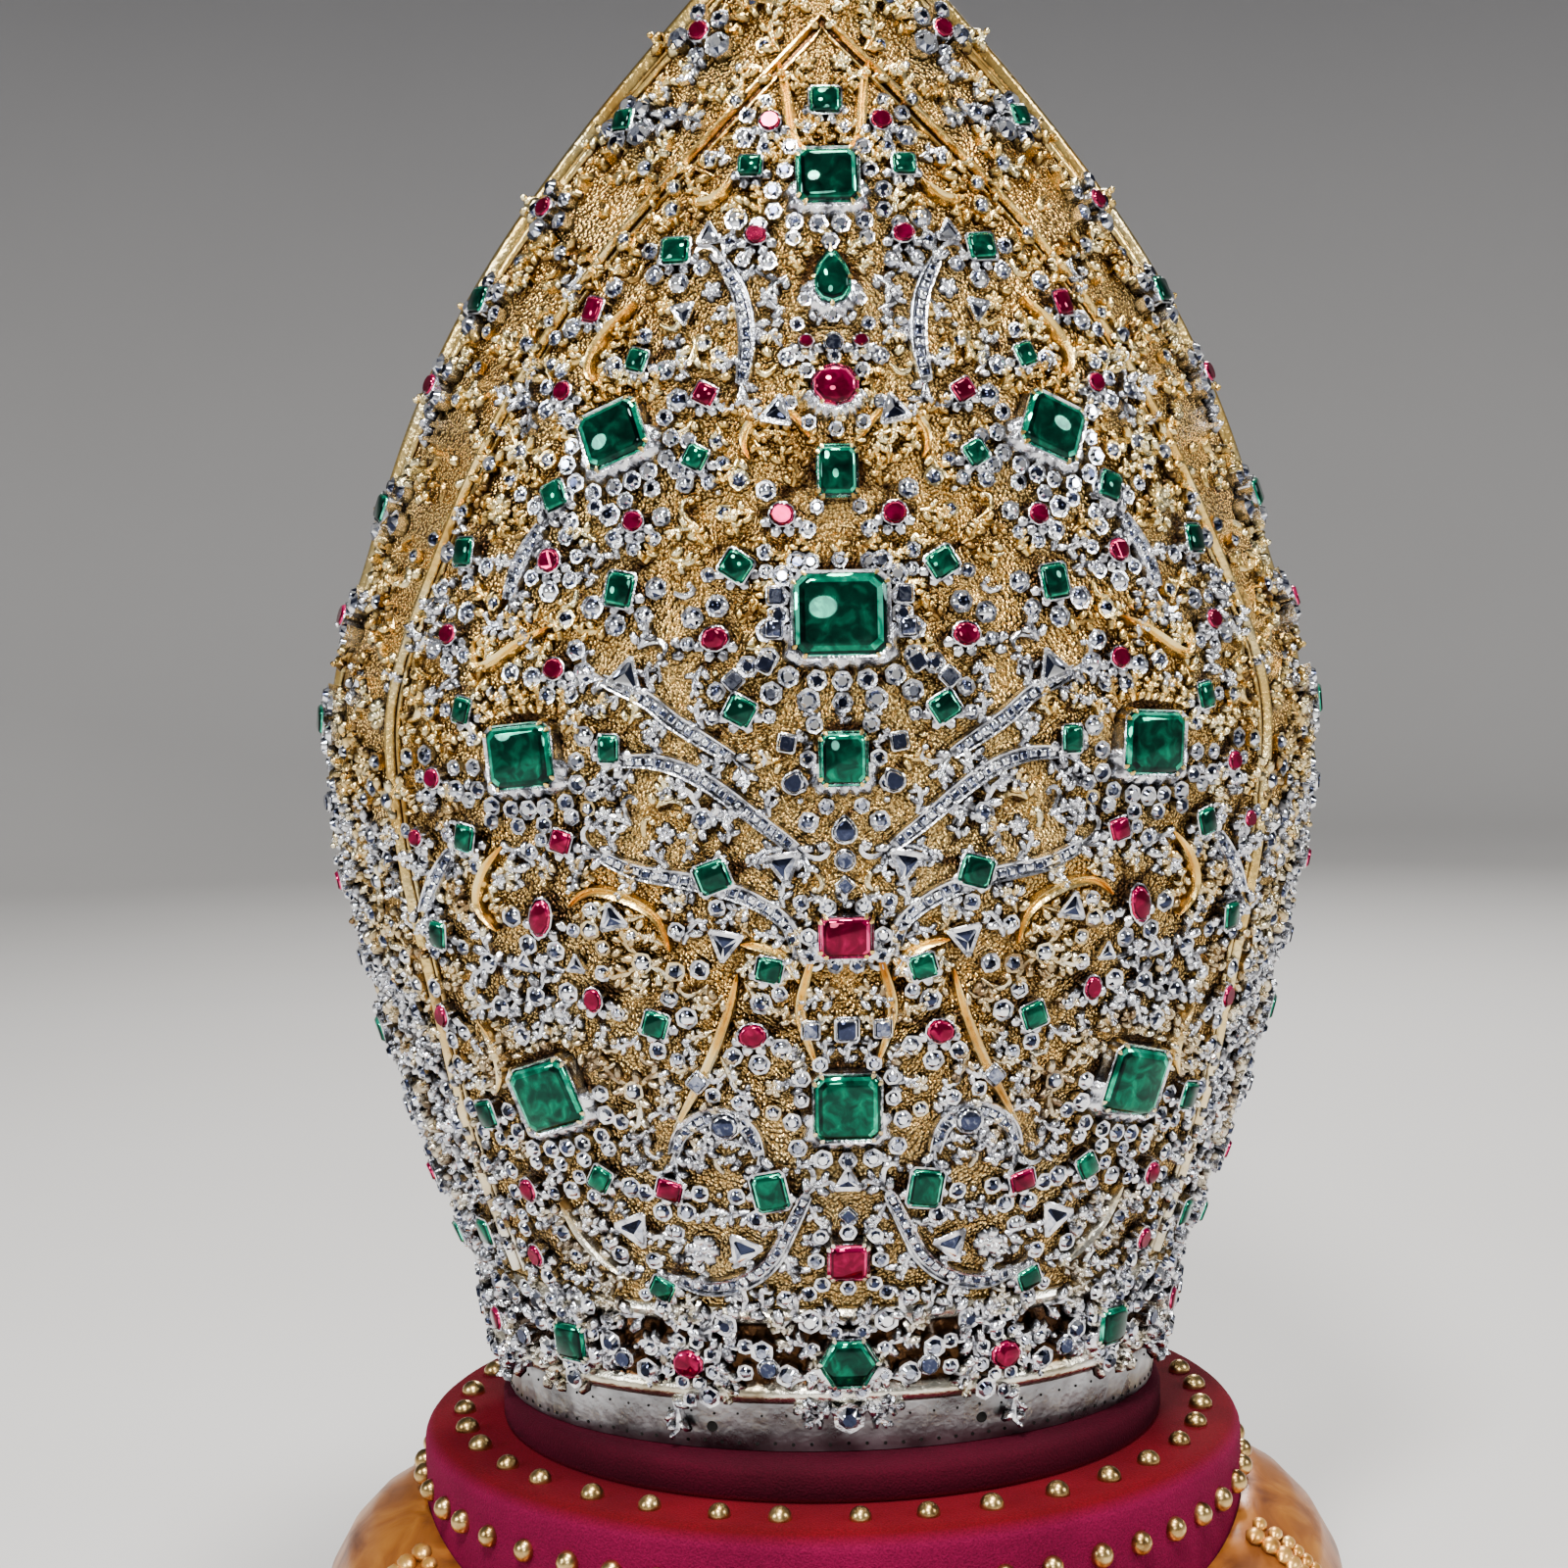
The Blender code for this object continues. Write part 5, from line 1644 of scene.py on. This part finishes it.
def build_panels():
    """Everything on the two panels."""
    build_mouldings()
    taken = Taken()
    rows = rows_of(STONE_COLUMNS, PANEL_STONES)
    main, halos, leaves = Piece("main_stones"), Piece("halo_diamonds"), Piece("leaves")
    small, settings, sprigs = Piece("small_stones"), Piece("filling_stones"), Piece("filling_leaves")
    build_main_stones(rows, panel_base, main, taken)
    build_halos(rows, panel_base, halos, leaves, taken)
    build_scrolls(leaves, taken)
    build_diamonds(halos, taken)
    build_small_stones(small, leaves, taken)
    build_border(small, leaves, taken)
    build_fill(settings, sprigs, taken)
    build_ground(taken)
    show_both(main, stone_nodes(rows))
    show_both(halos)
    show_both(small)
    show_both(leaves, sharp=80.0)
    show_both(settings)
    show_both(sprigs, sharp=80.0)


# The circlet and the head band

# Outer face: distance out in metres, share of the height, and how clean and lit it is; the low values paint
# the sunk band between the mouldings dark, as shade together with tarnish
CIRCLET_PROFILE = (
    (-0.0018, 0.0, 0.5), (0.0010, 0.0, 0.6), (0.0022, 0.05, 0.9), (0.0025, 0.11, 1.0), (0.0017, 0.16, 0.9),
    (0.0004, 0.20, 0.1), (0.0, 0.28, -0.3), (0.0, 0.78, -0.3), (0.0006, 0.82, 0.1), (0.0018, 0.86, 0.9),
    (0.0024, 0.92, 1.0), (0.0014, 0.98, 0.8), (0.0006, 1.0, 0.5), (-0.0018, 1.0, 0.5),
)
HOOP_STEPS = 240


def build_circlet():
    """The hoop with its two mouldings."""
    angles = np.linspace(0, 2 * math.pi, HOOP_STEPS, endpoint=False)
    tall = HOOP_HEIGHT - CIRCLET_BOTTOM
    outs = [out for out, _, _ in CIRCLET_PROFILE]
    heights = [CIRCLET_BOTTOM + tall * share for _, share, _ in CIRCLET_PROFILE]
    rows = np.array([hoop_point(angle, heights, outs) for angle in angles])
    piece = Piece("circlet_hoop")
    piece.add(loop_strip(rows, "gilt", np.tile([clean for _, _, clean in CIRCLET_PROFILE], HOOP_STEPS)))
    show("circlet_hoop", piece.mesh(), ["circlet"])


def loop_strip(grid, look, clean=None):
    """A closed ring whose rows are closed profiles."""
    rows, count = grid.shape[:2]
    faces = []
    for row in range(rows):
        low, high = row * count, (row + 1) % rows * count
        for k in range(count):
            n = (k + 1) % count
            faces.append((low + k, high + k, high + n, low + n))
    return Shape(grid.reshape(-1, 3), faces, look, 0.5, clean)


DETAIL_SIDES = np.arange(0.03, 1.0, 0.036)
DETAIL_RISES = (0.06, 0.34, 0.60, 0.88)
CIRCLET_LOW = 0.1


def build_circlet_ornament():
    """Stones, diamonds and leaves round the circlet."""
    rows = rows_of(STONE_COLUMNS, CIRCLET_STONES)
    main = Piece("circlet_stones")
    build_main_stones(rows, circlet_base, main)
    show_both(main, stone_nodes(rows))
    trim = Piece("circlet_trim")
    for side, rise, size, cut, gem in CIRCLET_CLUSTERS:
        trim.put_pair(set_stone(cut, gem, size, size, lift=0.0044), circlet_base, side, rise)
    for row in rows:
        add_circlet_wreath(trim, row)
    for side in DETAIL_SIDES:
        for rise in DETAIL_RISES:
            if rise > CIRCLET_LOW or stands_low(side):
                add_circlet_detail(trim, side + RANDOM.uniform(-0.008, 0.008),
                                   rise + RANDOM.uniform(-0.06, 0.06), rows)
    add_drop(trim)
    show_both(trim)


def stands_low(side):
    """Whether ornament hangs over the lower moulding there: under the coloured stones and far round."""
    gaps = [abs(side - row["side"]) for row in rows_of(STONE_COLUMNS, CIRCLET_STONES[1:])]
    return side > 0.62 or min(gaps) < 0.045


def add_circlet_wreath(piece, row):
    """Large curled leaves and diamonds round a stone of the circlet."""
    for degrees in range(0, 360, 45):
        angle = math.radians(degrees + 22)
        place, heading = beside(dict(row, side=max(row["side"], 1e-6)), circlet_base, angle, 0.0022)
        if row["side"] == 0 and place[0] < 0:
            continue
        if math.sin(angle) > -0.5:
            shape = acanthus(RANDOM.uniform(0.0075, 0.0095), RANDOM.choice([-2.3, 2.3]), 5, "silver", 0.0036)
            piece.put_pair(shape, circlet_base, *place, turn=heading - math.pi / 2)
        piece.put_pair(round_diamond(0.0019, height=0.0036, rich=True), circlet_base, *place)


def add_circlet_detail(piece, side, rise, rows):
    """A small diamond or a leaf on the circlet, unless a stone is there."""
    point = circlet_base(side, rise)
    for row in rows:
        reach = max(row["width"], row["height"]) * STONE / 2
        if np.linalg.norm(circlet_base(row["side"], row["rise"]) - point) < reach + 0.0022:
            return
    for other, height, size, _, _ in CIRCLET_CLUSTERS:
        if np.linalg.norm(circlet_base(other, height) - point) < size / 2 + 0.0016:
            return
    if RANDOM.random() < 0.45:
        radius = RANDOM.uniform(0.0020, 0.0032)
        height = RANDOM.uniform(0.0030, 0.0044)
        stone = round_diamond(radius, height=height, rich=radius > 0.0026)
        piece.put_pair(stone, circlet_base, side, rise)
        return
    look = "silver" if RANDOM.random() < 0.65 else "foliage"
    shape = acanthus(RANDOM.uniform(0.0080, 0.0110), RANDOM.choice([-2.3, 2.3]), 4, look, 0.0036)
    piece.put_pair(shape, circlet_base, side, rise, turn=RANDOM.uniform(0, 2 * math.pi))


def add_drop(piece):
    """The round diamond below the hexagon, between two leaves."""
    piece.put_pair(round_diamond(0.0040, height=0.0040, rich=True), circlet_base, 0.0, -0.10)
    for side, turn in ((0.035, -1.9), (0.030, -2.6)):
        piece.put_pair(acanthus(0.009, 1.8, 5, "silver", 0.0036), circlet_base, side, 0.04, turn=turn)


# Sewing holes of the head band: count, first angle in degrees, height above the rim and radius
HOLE_ROWS = ((120, 0.0, 0.0021, 0.00055), (90, 0.0, 0.0106, 0.00040), (2, 67.5, 0.0066, 0.0016),
             (2, 112.5, 0.0066, 0.0016))


def build_band_holes():
    """Rows of fine sewing holes along the head band, and larger ones in front and behind."""
    piece = Piece("band_holes")
    for count, first, height, radius in HOLE_ROWS:
        sides = 6 if radius < 0.001 else 14
        for k in range(count):
            angle = math.radians(first) + 2 * math.pi * k / count
            point = hoop_point(angle, height + RANDOM.uniform(-0.0003, 0.0003), 0.0)
            out = unit(np.array([math.cos(angle) / RIM_HALF_WIDTH, math.sin(angle) / RIM_HALF_DEPTH, 0.0]))
            across = np.cross([0.0, 0.0, 1.0], out)
            # Each hole is a near-black disc laid on the band: painted shade
            disc = stack([flat_ring(circle(sides), 2 * radius, z) for z in (-0.0004, 0.00008)], "hole")
            piece.add(disc.copy_with(point + disc.verts @ np.array([across, [0, 0, 1], out])))
    show("band_holes", piece.mesh())
    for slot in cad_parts["head_band"].material_slots:
        slot.material = LOOKS["band_silver"]


# The gore

GORE_ROWS = 40
GORE_COLUMNS = 24


def build_gore():
    """The folded silk between the two points, with soft gathers."""
    top = rise_where(lambda rise: TIP_INSET)
    lift = -(PLATE + GAP + GORE_CLOTH)
    split = lifted(panel_base, side_inset(GORE_SPLIT, TIP_INSET), GORE_SPLIT, lift)
    rows = []
    for k in range(GORE_ROWS + 1):
        share = k / GORE_ROWS
        rise = GORE_SPLIT + (top - GORE_SPLIT) * share
        edge = lifted(panel_base, side_inset(rise, TIP_INSET), rise, lift)
        sag = GORE_VALLEY_RISE * (1 - (1 - share) ** 2)
        valley = np.array([split[0] * (1 - share), 0.0, split[2] + PANEL_HEIGHT * sag])
        rows.append([edge, valley])
    right = np.array(rows)
    left = right[-2::-1] * np.array([-1.0, 1.0, 1.0])
    lines = np.concatenate([right, left])
    shares = np.linspace(-1.0, 1.0, 2 * GORE_COLUMNS + 1)
    edge, valley = lines[:, None, 0], lines[:, None, 1]
    near = np.abs(shares)[None, :, None] ** 1.15
    grid = valley * (1 - near) + edge * near
    grid[..., 1] *= np.where(shares < 0, 1.0, -1.0)[None, :]
    folds = np.sin(np.arange(len(lines)) * 0.62)[:, None] * np.sin(math.pi * np.abs(shares))[None, :]
    grid[..., 2] += 0.0016 * folds
    thick = np.array([0.0, 0.0, GORE_CLOTH])
    sheet = np.concatenate([grid, grid[:, ::-1] - thick], axis=1)
    piece = Piece("gore_cloth")
    piece.add(strip(sheet, "silk"))
    item = show("gore_cloth", piece.mesh(60.0), ["gore"])


# The stand

def turned(profile, steps, look, ripple=None):
    """A turned solid with flat ends; ripple changes the radius by angle and height."""
    angles = np.linspace(0, 2 * math.pi, steps, endpoint=False)
    rings = []
    for radius, z in profile:
        reach = radius if ripple is None else radius * ripple(angles, z)
        rings.append(np.column_stack([reach * np.cos(angles), reach * np.sin(angles), np.full(steps, z)]))
    return stack(rings, look)


VELVET_STEPS = 144


def build_velvet():
    """The velvet drum and the riser under the rim."""
    profile = [(DRUM_RADIUS, DRUM_BOTTOM)]
    for z in np.linspace(DRUM_BOTTOM + 0.004, DRUM_TOP - DRUM_ROUNDING, 8):
        profile.append((DRUM_RADIUS, z))
    for degrees in range(15, 91, 15):
        angle = math.radians(degrees)
        profile.append((DRUM_RADIUS - DRUM_ROUNDING * (1 - math.cos(angle)),
                        DRUM_TOP - DRUM_ROUNDING * (1 - math.sin(angle))))
    profile.append((RISER_RADIUS + 0.006, DRUM_TOP))
    drum = Piece("velvet_drum")
    drum.add(turned(profile, VELVET_STEPS, "velvet",
                    lambda a, z: 1 - 0.0016 * (0.5 + 0.5 * np.sin(a * 9 + z * 90))))
    show("velvet_drum", drum.mesh(), ["stand_drum"])
    low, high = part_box("stand_riser")[0].z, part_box("stand_riser")[1].z
    riser = Piece("velvet_riser")
    rounding = [(RISER_RADIUS, high - 0.0022), (RISER_RADIUS - 0.0007, high - 0.0007),
                (RISER_RADIUS - 0.0022, high)]
    profile = [(RISER_RADIUS - 0.0008, low), (RISER_RADIUS, low + 0.001)] + rounding
    riser.add(turned(profile, VELVET_STEPS, "velvet"))
    show("velvet_riser", riser.mesh(), ["stand_riser"])


STUD_ROWS = ((36, 0.112, 0.0, True), (50, DRUM_RADIUS, RIM - 0.025, False))
STUD_RADIUS = 0.0035
STUD_SIDES = 16
STUD_LATITUDES = (-25, 0, 22, 42, 60, 76)
STUD_STRETCH = np.array([0.94, 1.0, 0.95])


def build_studs():
    """Two rows of round-headed brass nails."""
    piece = Piece("brass_studs")
    for count, radius, height, on_top in STUD_ROWS:
        for k in range(count):
            angle = 2 * math.pi * (k + RANDOM.uniform(-0.08, 0.08)) / count
            out = np.array([math.cos(angle), math.sin(angle), 0.0])
            across = np.array([-math.sin(angle), math.cos(angle), 0.0])
            up = np.array([0.0, 0.0, 1.0])
            axes = np.array([across, -out, up]) if on_top else np.array([across, up, out])
            centre = out * radius + up * (DRUM_TOP if on_top else height)
            shape = bead(STUD_RADIUS * RANDOM.uniform(0.94, 1.05), 0.0004, "brass", STUD_SIDES,
                         STUD_LATITUDES)
            verts = shape.verts * STUD_STRETCH
            piece.add(shape.copy_with(centre + verts @ axes))
    show("brass_studs", piece.mesh())


FOOT_PROFILE = ((0.80, 0.00), (0.80, 0.10), (0.97, 0.20), (1.00, 0.38), (0.93, 0.58), (0.73, 0.76),
                (0.46, 0.90), (0.12, 1.00))
FOOT_STEPS = 176
FOOT_RIBS = 8
FOOT_SCALES = 20
RIB_PHASE = math.pi / FOOT_RIBS

# The rows of scales on a rib: offset in radians, radius in metres
SCALE_ROWS = ((-0.026, 0.0044), (0.026, 0.0034))
SCALE_SHAPE = np.array([1.10, 0.72, 0.60])


def foot_top(angle):
    """Height of the foot's waved upper edge."""
    return FOOT_BODY + FOOT_COLLAR + FOOT_WAVE * math.cos(4 * angle)


def foot_point(angle, share):
    """Point on the foot's outer face, share running up its profile from 0 to 1."""
    heights = np.array([row[1] for row in FOOT_PROFILE])
    outs = np.array([row[0] for row in FOOT_PROFILE])
    out = float(np.interp(share, heights, outs))
    lobe = 0.955 + 0.045 * abs(math.sin((angle - RIB_PHASE) * FOOT_RIBS / 2)) ** 0.5
    radius = DRUM_RADIUS + GAP + FOOT_OVERHANG * out * lobe
    return np.array([radius * math.cos(angle), radius * math.sin(angle), foot_top(angle) * share])


def build_foot():
    """The carved gilt foot: smooth lobes parted by ribs of overlapping scales."""
    shares = np.concatenate([[0.0, 0.05, 0.10], np.linspace(0.14, 1.0, 26)])
    piece = Piece("gilt_foot")
    rings = []
    angles = [2 * math.pi * k / FOOT_STEPS for k in range(FOOT_STEPS)]
    for share in shares:
        rings.append(np.array([foot_point(angle, share) for angle in angles]))
    seat = DRUM_RADIUS + GAP
    rings.append(np.array([(seat * math.cos(a), seat * math.sin(a), foot_top(a)) for a in angles]))
    rings.append(np.array([(seat * math.cos(a), seat * math.sin(a), FOOT_BODY) for a in angles]))
    piece.add(stack(rings, "gilt_wood"))
    for rib in range(FOOT_RIBS):
        add_rib(piece, 2 * math.pi * rib / FOOT_RIBS + RIB_PHASE)
    show("gilt_foot", piece.mesh(), ["stand_foot"])


def add_rib(piece, angle):
    """A rib of overlapping scales that climbs the foot."""
    for k in range(FOOT_SCALES):
        share = 0.16 + 0.81 * k / (FOOT_SCALES - 1)
        for offset, radius in SCALE_ROWS:
            here = angle + offset + 0.03 * (1 - share)
            point = foot_point(here, share)
            tangent = unit(foot_point(here, min(share + 0.03, 1.0)) - foot_point(here, share - 0.03))
            across = np.array([-math.sin(here), math.cos(here), 0.0])
            out = unit(np.cross(across, tangent))
            shape = bead(radius, 0.0002, "rib_gold", 8)
            # Each scale is painted darker towards its foot, where it meets the foot: painted shade together
            # with tarnish
            shape.clean = np.clip(shape.verts[:, 2] / radius + 0.2, 0.0, 1.0)
            verts = shape.verts * SCALE_SHAPE
            piece.add(shape.copy_with(point + verts @ np.array([across, tangent, out])))


# Floor, lights and camera

FLOOR_MIDDLE = 1.2
FLOOR_RADIUS = 2.2
FLOOR_CURVE = 0.8
FLOOR_HEIGHT = 2.8
FLOOR_STEPS = 96


def build_stage():
    """A pale floor that curves up all round."""
    profile = [(0.01, 0.0), (FLOOR_MIDDLE, 0.0), (FLOOR_RADIUS, 0.0)]
    for degrees in range(10, 91, 10):
        angle = math.radians(degrees)
        profile.append((FLOOR_RADIUS + FLOOR_CURVE * math.sin(angle), FLOOR_CURVE * (1 - math.cos(angle))))
    profile.append((FLOOR_RADIUS + FLOOR_CURVE, FLOOR_HEIGHT))
    steps = FLOOR_STEPS
    angles = np.linspace(0, 2 * math.pi, steps, endpoint=False)
    verts, faces = [], []
    for radius, z in profile:
        verts += [(radius * math.cos(a), radius * math.sin(a), z) for a in angles]
    for row in range(len(profile) - 1):
        for k in range(steps):
            n = (k + 1) % steps
            faces.append((row * steps + k, (row + 1) * steps + k, (row + 1) * steps + n, row * steps + n))
    faces.append(tuple(range(steps)))
    mesh = bpy.data.meshes.new("floor")
    mesh.from_pydata(verts, [], faces)
    mesh.shade_smooth()
    mesh.materials.append(LOOKS["backdrop"])
    floor = bpy.data.objects.new("floor", mesh)
    bpy.context.scene.collection.objects.link(floor)


def add_light(name, place, target, size, power, colour):
    """A soft round light."""
    light = bpy.data.lights.new(name, "AREA")
    light.shape = "DISK"
    light.size = size
    light.energy = power
    light.color = colour
    item = bpy.data.objects.new(name, light)
    item.location = place
    item.rotation_euler = (Vector(target) - Vector(place)).to_track_quat("-Z", "Y").to_euler()
    item.visible_camera = False
    bpy.context.scene.collection.objects.link(item)


# Lights: place and target in metres, size in metres, power in watts, colour
LIGHTS = (
    ("key", (-0.30, -1.15, 1.50), 0.30, 44.0, (1.0, 0.98, 0.95)),
    ("top", (0.10, -0.35, 1.60), 0.36, 30.0, (1.0, 0.96, 0.90)),
    ("front", (-0.10, -1.70, 0.77), 0.40, 9.0, (0.92, 0.95, 1.0)),
    ("left", (-1.4, -0.7, 0.8), 0.40, 14.0, (0.86, 0.92, 1.0)),
    ("right", (1.4, -0.6, 0.9), 0.40, 14.0, (0.92, 0.95, 1.0)),
    ("rear", (0.4, 1.5, 1.3), 0.50, 30.0, (1.0, 0.98, 0.95)),
)
LIGHT_TARGET = (0.0, 0.0, 0.32)
ROOM_STRENGTH = 0.12


def build_lights():
    """A key from above in front, softer lights round the object, and a dim room."""
    for name, place, size, power, colour in LIGHTS:
        add_light(name, place, LIGHT_TARGET, size, power, colour)
    world = bpy.data.worlds.new("room")
    world.use_nodes = True
    world.node_tree.nodes["Background"].inputs["Color"].default_value = (0.75, 0.78, 0.84, 1.0)
    world.node_tree.nodes["Background"].inputs["Strength"].default_value = ROOM_STRENGTH
    bpy.context.scene.world = world


def build_camera():
    """The camera where the photograph was taken from."""
    azimuth, pitch = math.radians(CAMERA_AZIMUTH), math.radians(CAMERA_PITCH)
    forward = Vector((-math.sin(azimuth) * math.cos(pitch), math.cos(azimuth) * math.cos(pitch),
                      math.sin(pitch)))
    right = forward.cross(Vector((0, 0, 1))).normalized()
    up = right.cross(forward)
    roll, yaw = math.radians(CAMERA_ROLL), math.radians(CAMERA_YAW)
    rolled_right = right * math.cos(roll) - up * math.sin(roll)
    rolled_up = right * math.sin(roll) + up * math.cos(roll)
    turned_right = rolled_right * math.cos(yaw) + forward * math.sin(yaw)
    turned_forward = forward * math.cos(yaw) - rolled_right * math.sin(yaw)
    data = bpy.data.cameras.new("camera")
    data.lens = CAMERA_LENS
    data.sensor_width = CAMERA_SENSOR
    camera = bpy.data.objects.new("camera", data)
    axes = Matrix((turned_right, rolled_up, -turned_forward)).transposed()
    camera.matrix_world = Matrix.Translation(CAMERA_PLACE) @ axes.to_4x4()
    bpy.context.scene.collection.objects.link(camera)
    bpy.context.scene.camera = camera


make_looks()
build_camera()
build_panels()
build_circlet()
build_circlet_ornament()
build_band_holes()
build_gore()
build_velvet()
build_studs()
build_foot()
build_stage()
build_lights()
